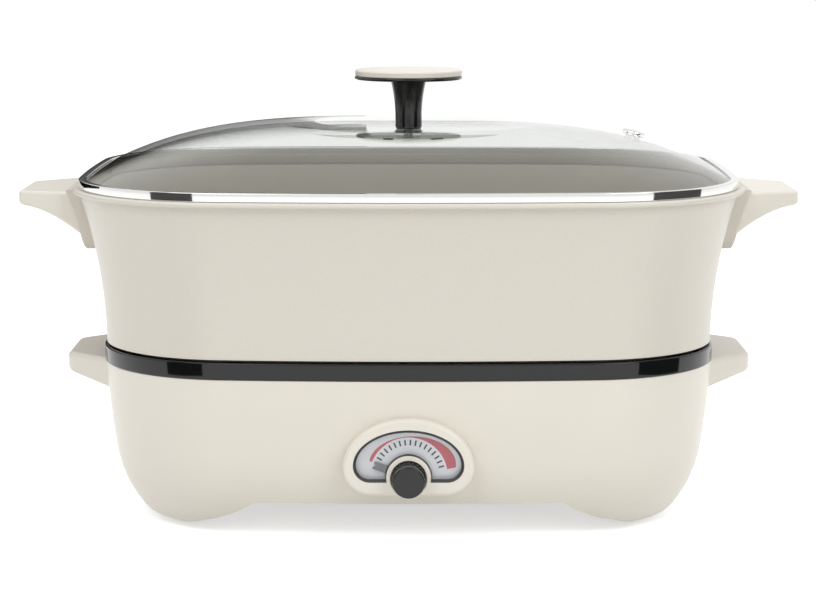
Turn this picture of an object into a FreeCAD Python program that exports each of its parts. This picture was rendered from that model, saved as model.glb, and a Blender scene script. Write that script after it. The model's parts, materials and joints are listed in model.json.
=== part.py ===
"""Electric hot pot: heating base with a dial, lift-off pot and lift-off glass lid.

Millimetres. +X to the right, -Y towards the user, +Z up. The origin lies under the
middle of the base, on the surface that the rubber feet stand on.

Every wall follows one plan outline, a rectangle with bowed sides and round corners.
A size called offset is measured outwards from that outline, which is the outer edge
of the base shell's top.
"""
import FreeCAD
import Part
import os
from math import acos, atan2, cos, degrees, hypot, pi, sin, sqrt, tan

V = FreeCAD.Vector
X_AXIS = V(1, 0, 0)
Y_AXIS = V(0, 1, 0)
Z_AXIS = V(0, 0, 1)

# ---- plan outline ----
half_length = 163.4
half_width = 126.2
corner_radius = 73.0
front_bow_radius = 1100.0
side_bow_radius = 1500.0
core_offset = -50.0            # walls are turned out to here, and a prism fills the middle

# ---- clearances ----
running_fit = 0.05
push_fit = 0.1
seat_gap = 0.3

# ---- base shell ----
floor_height = 18.7            # underside of the floor, seen between the legs
shell_wall = 3.0
base_top = 85.0
shell_waist_drop = 45.0        # from the top down to where the wall turns in
shell_waist_inset = 4.6
leg_turn_height = 5.0
leg_turn_inset = 20.7
leg_bottom = 2.5
leg_bottom_inset = 34.0
leg_inside_floor = 10.0
front_leg_width = 83.4         # from the outline's end to the arch
side_leg_width = 86.2
arch_slope_run = 26.0          # how far the arch's end runs sideways down to the leg
arch_slope_fall = 11.6
arch_toe_run = 14.0
arch_toe_fall = 5.0
boss_radius = 5.0
cover_boss_rise = 6.0          # above the floor

# ---- rubber feet ----
foot_radius = 11.0
foot_pocket = 4.5
foot_edge = 1.5
foot_out_x = 28.0              # from the corner arc's centre
foot_out_y = 14.5

# ---- trim ring ----
ring_height = 9.1
ring_proud = 0.6
ring_inner_offset = -8.0
ring_edge = 1.0

# ---- pot ----
pot_ring_gap = 1.3             # between the trim ring and the pot's step
pot_nest_depth = 23.4
pot_nest_offset = -9.3
pot_nest_rise = 2.4            # of the nest's inner wall above the step
pot_bend_rise = 8.8
pot_wall = 3.3
pot_floor = 4.0
pot_side_height = 79.4         # from the step to the underside of the lip
pot_foot_offset = -0.6
pot_mid_offset = 2.9
pot_top_offset = 12.7
pot_bottom_radius = 8.0
lip_height = 2.7
lip_offset = 16.2
lip_round = 1.2
mouth_offset = 10.2
ledge_drop = 6.1
ledge_width = 2.0

# ---- pot handles ----
pot_handle_run = 48.9          # beyond the outline's end
pot_handle_half = 41.0
pot_handle_tip_half = 27.0
pot_handle_taper = 26.0        # length of the part that narrows to the tip
pot_handle_corner = 6.0
pot_handle_edge = 1.8
pot_handle_drop = 1.1          # from the lip's underside to the handle's top
pot_handle_fall = 1.6          # of the top, from the wall to the tip
pot_handle_tip = 7.5
pot_handle_depth = 22.9
pot_handle_toe = 0.6           # in front of the pad
pot_handle_hollow = 0.29       # how far out the underside's curve has half its fall
pad_low_thickness = 7.6
pad_top_thickness = 9.3
pad_toe_below = 9.0            # below the handle's toe
pad_half = 44.5
pad_corner = 8.0
pad_edge = 1.4
handle_screw_pitch = 44.0
handle_screw_drop = 14.2
handle_screw_seat = 2.6        # from the pad to the underside of the head
stud_wall = 2.0
stud_floor = 1.2               # of its bore, out from the stud's root
stud_reach = 1.0               # beyond the pad
grip_root_depth = 20.0         # how far grips are drawn in before they're cut to the wall
grip_knee_radius = 24.0        # in plan, where the taper starts

# ---- lid ----
rim_offset = 12.8
rim_height = 4.7
rim_sheet = 0.8
rim_cover = 4.0
rim_guide_depth = 5.0
rim_edge = 1.2
guide_clearance = 0.4
glass_thickness = 3.0
glass_rise = 27.2
seat_share = 0.22              # of the dome's plan, sunk flat under the knob
seat_crest = 0.40              # share where the sunk part starts
seat_sink = 4.4
glass_fullness = 3.3           # exponent of the dome's section
glass_sections = 12             # from the edge to the sunk part
seat_sections = 7
vent_position = 0.750          # share of the way from the middle to the rim
vent_radius = 6.5
vent_bore = 2.6
vent_collar = 4.2
vent_proud = 1.8

# ---- lid knob ----
cap_radius = 29.3
cap_height = 3.5
cap_edge = 1.2
plate_radius = 29.6
plate_height = 1.9
stem_height = 26.8
stem_radius = 7.3
stem_flare_radius = 9.95
stem_flare_height = 20.0
gasket_height = 0.4
knob_screw_radius = 2.5
knob_screw_head = 5.0
knob_washer_radius = 28.8

# ---- base handles ----
base_handle_run = 24.4         # beyond the outline's end
base_handle_top_drop = 2.0     # below the shell's top
base_handle_tip = 10.6
base_handle_root = 15.8
base_handle_taper = 34.4        # starts inside the wall
base_handle_half = 55.5
base_handle_tip_half = 24.4
base_handle_corner = 12.0
base_handle_edge = 3.0
base_handle_screw_run = 11.5
base_handle_screw_pitch = 56.0
base_handle_screw_drop = 9.0

# ---- heater ----
plate_thickness = 8.0
plate_offset = -34.0
plate_bore = 17.0
plate_edge = 1.5
element_radius = 4.0
element_end_inset = 75.4       # from the outline's end
element_side_inset = 76.2
element_corner_share = 0.72    # of the element's half width
element_leg_half = 14.0
element_leg_turn = 10.0
element_leg_drop = 26.0
clamp_sheet = 1.2
clamp_width = 12.0
pan_sheet = 1.0
pan_floor_drop = 14.0          # below the heating plate
pan_floor_offset = -27.0
pan_neck_drop = 5.0
pan_shoulder_drop = 14.4
pan_shoulder_run = 5.3
pan_top_drop = 0.6
pan_lead_hole = 6.0
post_radius = 5.0
post_pin_radius = 2.0
post_pin_length = 5.0

# ---- pot sensor ----
sensor_radius = 9.0
sensor_wall = 1.2
sensor_skirt = 11.0
sensor_housing_radius = 12.0
sensor_housing_height = 16.0
sensor_flange = 16.0
spring_wire = 0.5
spring_radius = 6.2
spring_turns = 4.0

# ---- dial ----
knob_axis_height = 36.0
bezel_stand = 3.8              # of the bezel's face in front of the outline
bezel_half = 33.6
bezel_side_radius = 14.6
bezel_side_height = 41.0
bezel_crown = 25.4
bezel_edge = 2.2
bezel_seat_gap = 6.0           # behind the bezel, in front of the bracket
bezel_wall = 1.8
bezel_side_wall = 3.6
plate_ledge = 1.2
window_half = 26.9
window_side_radius = 7.1
window_side_height = 42.1
window_crown = 17.1
window_inner_radius = 12.1
frame_edge = 1.4
frame_inner_edge = 0.6
lens_thickness = 1.0
lens_margin = 2.4
pointer_gap = 0.5
pointer_thickness = 0.9
pointer_hub = 5.4
pointer_reach = 18.2
pointer_width = 4.0
pointer_angle = 162.0          # from +X, seen from the front, at the off position
dial_plate_gap = 0.8
dial_plate_thickness = 0.8

# ---- knob ----
knob_radius = 9.0
knob_length = 12.6
knob_back_gap = 0.4
knob_ribs = 24
knob_rib_depth = 0.45
knob_face_radius = 0.8
collar_radius = 10.4
collar_bore = 9.4
collar_proud = 2.2
collar_edge = 0.5
socket_floor = 0.8
spindle_radius = 3.0
spindle_inside_knob = 9.6

# ---- thermostat ----
bracket_setback = 20.2         # of the bracket's face behind the outline
bracket_sheet = 1.5
bracket_width = 40.0
bracket_height = 30.0
bracket_foot = 18.0
thermostat_width = 30.0
thermostat_height = 23.0
thermostat_depth = 20.0
bushing_radius = 5.0
bushing_length = 5.5
nut_flats = 13.0
nut_height = 2.5
bulb_radius = 3.0
bulb_length = 60.0
bulb_gap = 6.0                 # from the sensor's flange to the bulb's axis
capillary_radius = 1.0
capillary_bend = 8.0
capillary_side = 8.0           # of its way into the thermostat, left of the middle
capillary_loop = 24.0
capillary_overhang = 16.0
fuse_radius = 2.4
fuse_length = 16.0
fuse_gap = 8.0
fuse_start = 14.0

# ---- inlet ----
inlet_height = 38.0
inlet_flange_length = 50.0
inlet_flange_height = 23.0
inlet_flange_corner = 4.0
inlet_flange_reach = 10.0      # drawn in, then cut to the wall
inlet_stand = 0.8              # of the flange's face behind the outline
inlet_opening_length = 24.0
inlet_opening_height = 16.5
inlet_opening_chamfer = 4.5
inlet_body_length = 28.0
inlet_body_height = 20.5
inlet_depth = 30.0
inlet_wall_cut = 25.0          # length of the hole through the shell
inlet_well = 18.0
inlet_screw_pitch = 40.0
inlet_screw_length = 12.0
inlet_pin_length = 15.0
inlet_pin_width = 2.0
inlet_pin_height = 4.0
inlet_pin_pitch = 7.0
inlet_pin_tail = 7.0          # behind the inlet's body
block_length = 42.0
block_width = 16.0
block_height = 15.0
block_screw_bore = 2.6
block_setback = 57.0           # from the inlet's face
lead_radius = 1.4
lead_bend = 3.0
lead_gap = 0.8
lead_inside = 4.0              # of the terminal block
spot_face = 0.5

# ---- bottom cover ----
cover_end_inset = 14.0         # inside the arch between the legs
cover_side_inset = 84.2        # from the outline
cover_corner = 12.0
cover_rebate = 8.0
cover_thickness = 1.8
cover_slots = 9
cover_slot_length = 30.0
cover_slot_width = 3.0
cover_slot_pitch = 11.0

# ---- screws ----
screw_radius = 2.0
screw_head_radius = 3.8
screw_head_height = 2.4

# ---- sizes that follow the outline ----
front_arch_half = half_length - front_leg_width
side_arch_half = half_width - side_leg_width
pot_handle_reach = half_length + pot_handle_run
base_handle_reach = half_length + base_handle_run
element_half_length = half_length - element_end_inset
element_half_width = half_width - element_side_inset
element_corner = element_corner_share * element_half_width
cover_half_length = front_arch_half - cover_end_inset
cover_half_width = half_width - cover_side_inset
bezel_front = half_width + bezel_stand
bracket_y = half_width - bracket_setback
inlet_face = half_width + inlet_stand
block_y = inlet_face - block_setback
bulb_y = -sensor_flange - bulb_gap
fuse_y = sensor_flange + fuse_gap

# ---- heights that follow ----
floor_top = floor_height + shell_wall
ring_top = base_top + ring_height
step_height = ring_top + pot_ring_gap
pot_bottom = step_height - pot_nest_depth
pot_floor_top = pot_bottom + pot_floor
lip_under = step_height + pot_side_height
pot_top = lip_under + lip_height
ledge_height = pot_top - ledge_drop
rim_top = pot_top + rim_height
glass_edge_top = rim_top - rim_sheet - running_fit
glass_edge_bottom = glass_edge_top - glass_thickness
seat_top = glass_edge_top + glass_rise * (1 - seat_share ** glass_fullness) - seat_sink
stem_bottom = seat_top + gasket_height
stem_top = stem_bottom + stem_height
plate_top = stem_top + plate_height
heater_bottom = pot_bottom - plate_thickness
pan_floor = heater_bottom - pan_floor_drop
pan_inside = pan_floor + pan_sheet
element_height = heater_bottom - element_radius
shell_waist = base_top - shell_waist_drop

# ---- places in front of the middle that follow ----
bezel_back_face = -bezel_front + bezel_wall
lens_back = bezel_back_face + lens_thickness
pointer_front = lens_back + pointer_gap
pointer_back = pointer_front + pointer_thickness
dial_plate_front = pointer_back + dial_plate_gap
dial_plate_back = dial_plate_front + dial_plate_thickness
socket_floor_y = bezel_back_face - socket_floor
knob_back = socket_floor_y - knob_back_gap
knob_face = knob_back - knob_length
spindle_front = knob_back - spindle_inside_knob
bracket_back = -bracket_y + bracket_sheet


# ==== plan outline ====

def corner_centre():
    """Centre of the rear right corner arc, which touches the rear arc and the right arc."""
    rear = (0.0, half_width - front_bow_radius)
    right = (half_length - side_bow_radius, 0.0)
    from_rear = front_bow_radius - corner_radius
    from_right = side_bow_radius - corner_radius
    dx = right[0] - rear[0]
    dy = right[1] - rear[1]
    apart = hypot(dx, dy)
    along = (from_rear ** 2 - from_right ** 2 + apart ** 2) / (2 * apart)
    across = sqrt(from_rear ** 2 - along ** 2)
    foot_x = rear[0] + along * dx / apart
    foot_y = rear[1] + along * dy / apart
    one = (foot_x + across * dy / apart, foot_y - across * dx / apart)
    other = (foot_x - across * dy / apart, foot_y + across * dx / apart)
    return max(one, other, key=sum)


corner_x, corner_y = corner_centre()
rear_half_angle = atan2(corner_x, corner_y - half_width + front_bow_radius)
side_half_angle = atan2(corner_y, corner_x - half_length + side_bow_radius)


def plan_arcs():
    """The eight arcs as centre x, centre y, radius, start angle and sweep, anticlockwise."""
    side_x = half_length - side_bow_radius
    rear_y = half_width - front_bow_radius
    corner_sweep = pi / 2 - rear_half_angle - side_half_angle
    arcs = []
    for turn in (0, 1):
        sign = 1 - 2 * turn
        start = turn * pi
        arcs.append((sign * side_x, 0.0, side_bow_radius, start - side_half_angle,
                     2 * side_half_angle))
        arcs.append((sign * corner_x, sign * corner_y, corner_radius,
                     start + side_half_angle, corner_sweep))
        arcs.append((0.0, sign * rear_y, front_bow_radius,
                     start + pi / 2 - rear_half_angle, 2 * rear_half_angle))
        arcs.append((-sign * corner_x, sign * corner_y, corner_radius,
                     start + pi / 2 + rear_half_angle, corner_sweep))
    return arcs


def arc_point(arc, angle, offset, z):
    cx, cy, radius = arc[:3]
    return V(cx + (radius + offset) * cos(angle), cy + (radius + offset) * sin(angle), z)


def plan_wire(offset, z):
    """The plan outline at an offset and a height."""
    edges = []
    for arc in plan_arcs():
        start, sweep = arc[3], arc[4]
        points = [arc_point(arc, start + sweep * t, offset, z) for t in (0.0, 0.5, 1.0)]
        edges.append(Part.Arc(*points).toShape())
    return Part.Wire(edges)


def prism(offset, low, high):
    """Filled plan outline between two heights."""
    return Part.Face(plan_wire(offset, low)).extrude(V(0, 0, high - low))


# ==== small shape helpers ====

def closed_wire(steps, place):
    """Closed wire through steps; a pair of points is an arc through the first to the second."""
    edges = []
    first = steps[0]
    here = first
    for step in steps[1:] + [first]:
        if isinstance(step[0], tuple):
            middle, end = step
            edges.append(Part.Arc(place(*here), place(*middle), place(*end)).toShape())
            here = end
        elif hypot(step[0] - here[0], step[1] - here[1]) > 1e-6:
            edges.append(Part.LineSegment(place(*here), place(*step)).toShape())
            here = step
    return Part.Wire(edges)


def ring(steps):
    """Carries a closed (offset, height) profile round the plan outline."""
    wedges = []
    for arc in plan_arcs():
        start, sweep = arc[3], arc[4]
        wire = closed_wire(steps, lambda offset, z: arc_point(arc, start, offset, z))
        centre = V(arc[0], arc[1], 0)
        wedges.append(Part.Face(wire).revolve(centre, Z_AXIS, degrees(sweep)))
    return one_solid(wedges[0].fuse(wedges[1:]))


def filled(steps, low, high):
    """A ring that reaches in to the core, with the middle filled between two heights."""
    return one_solid(ring(steps).fuse(prism(core_offset, low, high)))


def one_solid(shape):
    shape = shape.removeSplitter()
    return shape.Solids[0] if len(shape.Solids) == 1 else shape


def round_bar(radius, start, end):
    return Part.makeCylinder(radius, (end - start).Length, start, end - start)


def box(low, high):
    return Part.makeBox(high[0] - low[0], high[1] - low[1], high[2] - low[2], V(*low))


def turned(steps, centre=V(0, 0, 0), axis=Z_AXIS):
    """Solid turned from a closed (radius, height) profile about an axis through centre."""
    wire = closed_wire(steps, lambda r, z: V(r, 0, z))
    solid = Part.Face(wire).revolve(V(0, 0, 0), Z_AXIS, 360)
    solid.Placement = FreeCAD.Placement(centre, FreeCAD.Rotation(Z_AXIS, axis))
    return solid


def rounded_path(points, radii):
    """Straight runs joined by tangent arcs, one radius for each inner point."""
    edges = []
    here = points[0]
    for before, corner, after, radius in zip(points, points[1:], points[2:], radii):
        back = (before - corner).normalize()
        ahead = (after - corner).normalize()
        half = acos(max(-1.0, min(1.0, back.dot(ahead)))) / 2
        reach = radius / tan(half)
        start = corner + back * reach
        end = corner + ahead * reach
        middle = corner + (back + ahead).normalize() * (radius / sin(half) - radius)
        edges.append(Part.LineSegment(here, start).toShape())
        edges.append(Part.Arc(start, middle, end).toShape())
        here = end
    edges.append(Part.LineSegment(here, points[-1]).toShape())
    return Part.Wire(edges)


def tube(points, radii, radius):
    """Round bar along a path of runs and tangent arcs."""
    path = rounded_path(points, radii)
    ring_wire = Part.Wire(Part.Circle(points[0], points[1] - points[0], radius).toShape())
    return path.makePipeShell([ring_wire], True, False)


def mirrored(shape):
    """The same piece on the other end of the object."""
    return shape.mirror(V(0, 0, 0), X_AXIS)


def screw(tip, head, head_radius=screw_head_radius, head_height=screw_head_height):
    """Screw from its tip to the underside of its head, with a hexagon recess."""
    direction = (head - tip).normalize()
    top = head + direction * head_height
    solid = round_bar(screw_radius, tip, head).fuse(round_bar(head_radius, head, top))
    recess = hexagon(head_radius * 0.9, top - direction * head_height * 0.6, direction)
    return one_solid(solid.cut(recess.extrude(direction * head_height)))


def hexagon(flats, centre, axis):
    """Flat hexagon across two flats, facing along an axis."""
    turn = FreeCAD.Rotation(Z_AXIS, axis)
    corners = [turn.multVec(V(cos(k * pi / 3), sin(k * pi / 3), 0)) for k in range(7)]
    size = flats / sqrt(3)
    return Part.Face(Part.makePolygon([centre + corner * size for corner in corners]))


# ==== base shell ====

def shell_profile(inset):
    """Steps down the shell's outer wall, moved inwards by an inset."""
    waist = (-shell_waist_inset - inset, shell_waist)
    upper_middle = (-0.3 * shell_waist_inset - inset, base_top - 0.42 * shell_waist_drop)
    turn = (-leg_turn_inset - inset, leg_turn_height)
    run = leg_turn_inset - shell_waist_inset
    fall = shell_waist - leg_turn_height
    bulge = 0.152 * hypot(run, fall) / 2
    lean = atan2(run, fall)
    lower_middle = ((waist[0] + turn[0]) / 2 + bulge * cos(lean),
                    (waist[1] + turn[1]) / 2 - bulge * sin(lean))
    under = (-leg_bottom_inset - inset, leg_bottom)
    under_middle = (turn[0] - 0.29 * (leg_bottom_inset - leg_turn_inset),
                    leg_bottom + 0.2 * (leg_turn_height - leg_bottom))
    return [(-inset, base_top), (upper_middle, waist), (lower_middle, turn),
            (under_middle, under)]


def shell_offset(z):
    """Offset of the shell's outer wall at a height above the waist or just below it."""
    if z >= shell_waist:
        share = (base_top - z) / shell_waist_drop
        return -shell_waist_inset * share * (0.55 + 0.45 * share)
    share = (shell_waist - z) / (shell_waist - leg_turn_height)
    run = leg_turn_inset - shell_waist_inset
    return -shell_waist_inset - run * share * (0.42 + 0.58 * share)


def arch(half, grow, along_x):
    """Space between two legs, right through the base."""
    lift = floor_height + grow
    near = half + grow * 0.4
    middle_x = near + 0.42 * arch_slope_run
    middle_z = lift - 0.56 * arch_slope_fall
    slope_x = near + arch_slope_run
    slope_z = lift - arch_slope_fall
    toe_x = slope_x + arch_toe_run
    toe_z = slope_z - arch_toe_fall
    low = -2 * grow - 1
    steps = [(-near, lift), (near, lift), ((middle_x, middle_z), (slope_x, slope_z)),
             (toe_x, toe_z), (toe_x, low), (-toe_x, low), (-toe_x, toe_z),
             (-slope_x, slope_z), ((-middle_x, middle_z), (-near, lift))]
    reach = half_length + half_width
    if along_x:
        wire = closed_wire(steps, lambda u, z: V(-reach, u, z))
        return Part.Face(wire).extrude(V(2 * reach, 0, 0))
    wire = closed_wire(steps, lambda u, z: V(u, -reach, z))
    return Part.Face(wire).extrude(V(0, 2 * reach, 0))


def shell_outside():
    """The base as a filled block, with no arches."""
    steps = shell_profile(0.0) + [(core_offset, leg_bottom), (core_offset, base_top)]
    return filled(steps, leg_bottom, base_top)


def shell_inside():
    """The space inside the shell's walls."""
    above = base_top + 1.0
    steps = [(-shell_wall, above)] + shell_profile(shell_wall)
    steps += [(core_offset, leg_bottom), (core_offset, above)]
    space = filled(steps, leg_bottom, above)
    space = space.cut(prism(half_length, 0.0, leg_inside_floor))
    space = space.cut(arch(front_arch_half, shell_wall, False))
    return space.cut(arch(side_arch_half, shell_wall, True))


def foot_places():
    x = corner_x + foot_out_x
    y = corner_y + foot_out_y
    return {"foot_front_left": (-x, -y), "foot_front_right": (x, -y),
            "foot_rear_left": (-x, y), "foot_rear_right": (x, y)}


def post_places():
    return [(sx * corner_x, sy * corner_y) for sx in (-1, 1) for sy in (-1, 1)]


def foot(x, y):
    top = leg_bottom + foot_pocket
    corner = foot_edge * (1 - sqrt(0.5))
    steps = [(0.0, 0.0), (foot_radius - foot_edge, 0.0),
             ((foot_radius - corner, corner), (foot_radius, foot_edge)), (foot_radius, top),
             (0.0, top)]
    return turned(steps, V(x, y, 0))


def cover_plate(grow, low, high):
    """Rounded rectangle of the bottom cover, grown all round, between two heights."""
    x = cover_half_length + grow
    y = cover_half_width + grow
    block = box((-x, -y, low), (x, y, high))
    upright = [edge for edge in block.Edges if abs(edge.tangentAt(0).z) > 0.9]
    return block.makeFillet(cover_corner + grow, upright)


def cover_screw_places():
    x = cover_half_length + cover_rebate / 2
    y = cover_half_width + cover_rebate / 2
    return [(sx * (x - cover_corner / 2), sy * (y - cover_corner / 2))
            for sx in (-1, 1) for sy in (-1, 1)] + [(-x, 0.0), (x, 0.0)]


def base_shell(outside):
    legs = outside.cut(arch(front_arch_half, 0.0, False)).cut(arch(side_arch_half, 0.0, True))
    shell = legs.cut(shell_inside())
    adds = [round_bar(boss_radius, V(x, y, leg_bottom), V(x, y, pan_floor)).common(legs)
            for x, y in post_places()]
    adds += [round_bar(boss_radius, V(x, y, floor_height + cover_thickness),
                       V(x, y, floor_top + cover_boss_rise)) for x, y in cover_screw_places()]
    shell = shell.fuse(adds)
    cuts = [round_bar(foot_radius + push_fit, V(x, y, -1), V(x, y, leg_bottom + foot_pocket))
            for x, y in foot_places().values()]
    cuts += [round_bar(post_pin_radius + push_fit, V(x, y, pan_floor - post_pin_length - 1),
                       V(x, y, pan_floor + 1)) for x, y in post_places()]
    cuts += [round_bar(screw_radius + push_fit, V(x, y, floor_height - 1),
                       V(x, y, floor_top + cover_boss_rise - 1))
             for x, y in cover_screw_places()]
    cuts.append(cover_plate(cover_rebate + push_fit, floor_height - 1,
                            floor_height + cover_thickness))
    cuts.append(cover_plate(0.0, floor_height, floor_top + 1))
    cuts.append(dial_outline_block(-bezel_side_wall + plate_ledge, -bezel_front, -bracket_y))
    cuts.append(inlet_block(inlet_body_length / 2 + push_fit, inlet_body_height / 2 + push_fit,
                            inlet_face - inlet_wall_cut, inlet_face))
    cuts += [round_bar(screw_radius + push_fit, tip, head)
             for tip, head in inlet_screw_lines() + base_handle_screw_lines()]
    cuts += [round_bar(screw_head_radius + push_fit, head, head - (tip - head).normalize() * 8)
             for tip, head in base_handle_screw_lines()]
    return one_solid(shell.cut(cuts))


def bottom_cover():
    low = floor_height
    plate = cover_plate(cover_rebate, low, low + cover_thickness)
    cuts = [round_bar(screw_radius + push_fit, V(x, y, low - 1), V(x, y, low + cover_thickness + 1))
            for x, y in cover_screw_places()]
    first = -cover_slot_pitch * (cover_slots - 1) / 2
    for row in (-1, 1):
        middle = row * (cover_slot_length / 2 + cover_slot_width)
        for number in range(cover_slots):
            x = first + number * cover_slot_pitch
            cuts.append(box((x - cover_slot_width / 2, middle - cover_slot_length / 2, low - 1),
                            (x + cover_slot_width / 2, middle + cover_slot_length / 2,
                             low + cover_thickness + 1)))
    return one_solid(plate.cut(cuts))


def bottom_cover_screws():
    return [screw(V(x, y, floor_top + cover_boss_rise - 2), V(x, y, floor_height))
            for x, y in cover_screw_places()]


def base_trim_ring():
    edge = ring_edge
    corner = edge * (1 - sqrt(0.5))
    out = ring_proud
    steps = [(out, base_top), (out, ring_top - edge),
             ((out - corner, ring_top - corner), (out - edge, ring_top)),
             (ring_inner_offset, ring_top), (ring_inner_offset, base_top)]
    return ring(steps)


# ==== handles ====

def plan_block(reach, half, tip_half, taper, radius, low, high):
    """Plan of a grip: straight sides, then a taper to the tip with round corners."""
    root = half_length - grip_root_depth
    knee = max(reach - taper, root)
    block = Part.makePolygon([V(root, -half, low), V(knee, -half, low), V(reach, -tip_half, low),
                              V(reach, tip_half, low), V(knee, half, low), V(root, half, low),
                              V(root, -half, low)])
    block = Part.Face(block).extrude(V(0, 0, high - low))
    upright = [edge for edge in block.Edges if abs(edge.tangentAt(0).z) > 0.9]
    tip = [edge for edge in upright if edge.CenterOfMass.x > reach - 1]
    knees = [edge for edge in upright if abs(edge.CenterOfMass.x - knee) < 1]
    return block.makeFillet(radius, tip).makeFillet(grip_knee_radius, knees)


def face_slope(face, point):
    """How far a face's normal at a point leans from level, 0 for an upright wall."""
    u, v = face.Surface.parameter(point)
    return abs(face.normalAt(u, v).z)


def softened(wing, radius, root):
    """Rounds the edges where a grip's upright sides meet its top and its underside."""
    edges = []
    for edge in wing.Edges:
        middle = edge.valueAt((edge.FirstParameter + edge.LastParameter) / 2)
        slopes = sorted(face_slope(face, middle)
                        for face in wing.ancestorsOfType(edge, Part.Face))
        if middle.x > root + radius and slopes[0] < 0.05 and slopes[-1] > 0.2:
            edges.append(edge)
    return wing.makeFillet(radius, edges)


def side_profile(steps, half):
    """A profile in X and Z, carried across the object."""
    wire = closed_wire(steps, lambda x, z: V(x, -half, z))
    return Part.Face(wire).extrude(V(0, 2 * half, 0))


def base_handle(outside):
    top = base_top - base_handle_top_drop
    reach = base_handle_reach
    root = half_length - grip_root_depth
    tip_low = top - base_handle_tip
    slope = (base_handle_root - base_handle_tip) / base_handle_run
    low = tip_low - slope * (reach - root)
    steps = [(root, top), (reach, top), (reach, tip_low), (root, low)]
    wing = side_profile(steps, base_handle_half)
    wing = wing.common(plan_block(reach, base_handle_half, base_handle_tip_half,
                                  base_handle_taper, base_handle_corner, low - 5, top))
    wing = softened(wing, base_handle_edge, root).cut(outside)
    holes = [round_bar(screw_radius + push_fit, tip, head)
             for tip, head in base_handle_screw_lines() if tip.x > 0]
    return one_solid(wing.cut(holes))


def base_handle_screw_lines():
    """Tip and head seat of each screw that holds a grip from inside the shell."""
    z = base_top - base_handle_screw_drop
    head = half_length + shell_offset(z) - shell_wall + spot_face
    tip = half_length + base_handle_screw_run
    return [(V(side * tip, y, z), V(side * head, y, z)) for side in (-1, 1)
            for y in (-base_handle_screw_pitch / 2, base_handle_screw_pitch / 2)]


def base_handle_screws():
    return [screw(tip, head) for tip, head in base_handle_screw_lines()]


def pot_handle_heights():
    """Top at the wall, top at the tip, underside at the tip, and toe."""
    top = lip_under - pot_handle_drop
    tip_top = top - pot_handle_fall
    return top, tip_top, tip_top - pot_handle_tip, top - pot_handle_depth


def pot_handle(pad_block):
    """Grip with a hollow curve underneath, down to a toe on the pad."""
    top, tip_top, tip_low, toe = pot_handle_heights()
    reach = pot_handle_reach
    root = half_length
    toe_x = half_length + pot_offset(toe) + pad_thickness(toe) + pot_handle_toe
    middle = (toe_x + pot_handle_hollow * (reach - toe_x), (tip_low + toe) / 2)
    steps = [(root, top), (reach, tip_top), (reach, tip_low), (middle, (toe_x, toe)),
             (root, toe)]
    wing = side_profile(steps, pot_handle_half)
    wing = wing.common(plan_block(reach, pot_handle_half, pot_handle_tip_half,
                                  pot_handle_taper, pot_handle_corner, toe - 5, top))
    wing = softened(wing, pot_handle_edge, root).cut(pad_block)
    cuts = []
    for tip, head in pot_handle_screw_lines():
        cuts.append(round_bar(screw_radius + push_fit, tip, head))
        cuts.append(round_bar(screw_head_radius + push_fit, head,
                              V(pot_handle_reach, head.y, head.z)))
        cuts.append(stud(tip, push_fit))
    return one_solid(wing.cut(cuts))


def pot_handle_screw_lines():
    """Tip and head seat of the screws of the right-hand pot handle."""
    z = lip_under - pot_handle_drop - handle_screw_drop
    wall = half_length + pot_offset(z)
    seat = wall + pad_thickness(z) + handle_screw_seat
    return [(V(wall - 0.5, y, z), V(seat, y, z))
            for y in (-handle_screw_pitch / 2, handle_screw_pitch / 2)]


def stud(tip, grow):
    """Threaded stud that stands on the pot's wall."""
    return round_bar(screw_radius + stud_wall + grow, tip,
                     tip + V(pad_thickness(tip.z) + stud_reach + grow, 0, 0))


def pad_bottom():
    return pot_handle_heights()[3] - pad_toe_below


def pad_thickness(z):
    """The pad thickens upwards, from its bottom to the lip."""
    share = (z - pad_bottom()) / (lip_under - pad_bottom())
    return pad_low_thickness + share * (pad_top_thickness - pad_low_thickness)


def pot_handle_pad(pot_solid):
    """Strip between the pot's wall and the handle, with a round rim."""
    low = pad_bottom()
    strip = box((half_length - grip_root_depth, -pad_half, low),
                (pot_handle_reach, pad_half, lip_under - seat_gap))
    low_edges = [edge for edge in strip.Edges
                 if abs(edge.tangentAt(0).x) > 0.9 and edge.CenterOfMass.z < low + 1]
    pad = strip.makeFillet(pad_corner, low_edges).common(pad_side())
    face = max(pad.Faces, key=lambda side: side.CenterOfMass.x)
    pad = pad.makeFillet(pad_edge, face.Edges).cut(pot_solid)
    holes = [stud(tip, push_fit) for tip, head in pot_handle_screw_lines()]
    return one_solid(pad.cut(holes))


def pad_side():
    """Filled block whose wall lies the pad's thickness outside the pot's side."""
    low = pad_bottom()
    middle = (low + lip_under) / 2
    steps = [(pot_offset(low) + pad_thickness(low), low),
             ((pot_offset(middle) + pad_thickness(middle), middle),
              (pot_top_offset + pad_top_thickness, lip_under)),
             (core_offset, lip_under), (core_offset, low)]
    return filled(steps, low, lip_under)


# ==== pot ====

def flare_circle():
    """Circle of the pot's flared side: centre offset, centre height, radius."""
    z1, z3 = step_height, lip_under
    z2 = (z1 + z3) / 2
    d1, d2, d3 = pot_foot_offset, pot_mid_offset, pot_top_offset
    a = 2 * (d2 - d1)
    b = 2 * (z2 - z1)
    c = d2 ** 2 - d1 ** 2 + z2 ** 2 - z1 ** 2
    e = 2 * (d3 - d1)
    f = 2 * (z3 - z1)
    g = d3 ** 2 - d1 ** 2 + z3 ** 2 - z1 ** 2
    det = a * f - b * e
    centre_d = (c * f - b * g) / det
    centre_z = (a * g - c * e) / det
    return centre_d, centre_z, hypot(d1 - centre_d, z1 - centre_z)


def pot_offset(z, inset=0.0):
    """Offset of the pot's outer side at a height, or of a wall inset behind it."""
    centre_d, centre_z, radius = flare_circle()
    return centre_d - sqrt((radius + inset) ** 2 - (z - centre_z) ** 2)


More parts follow.
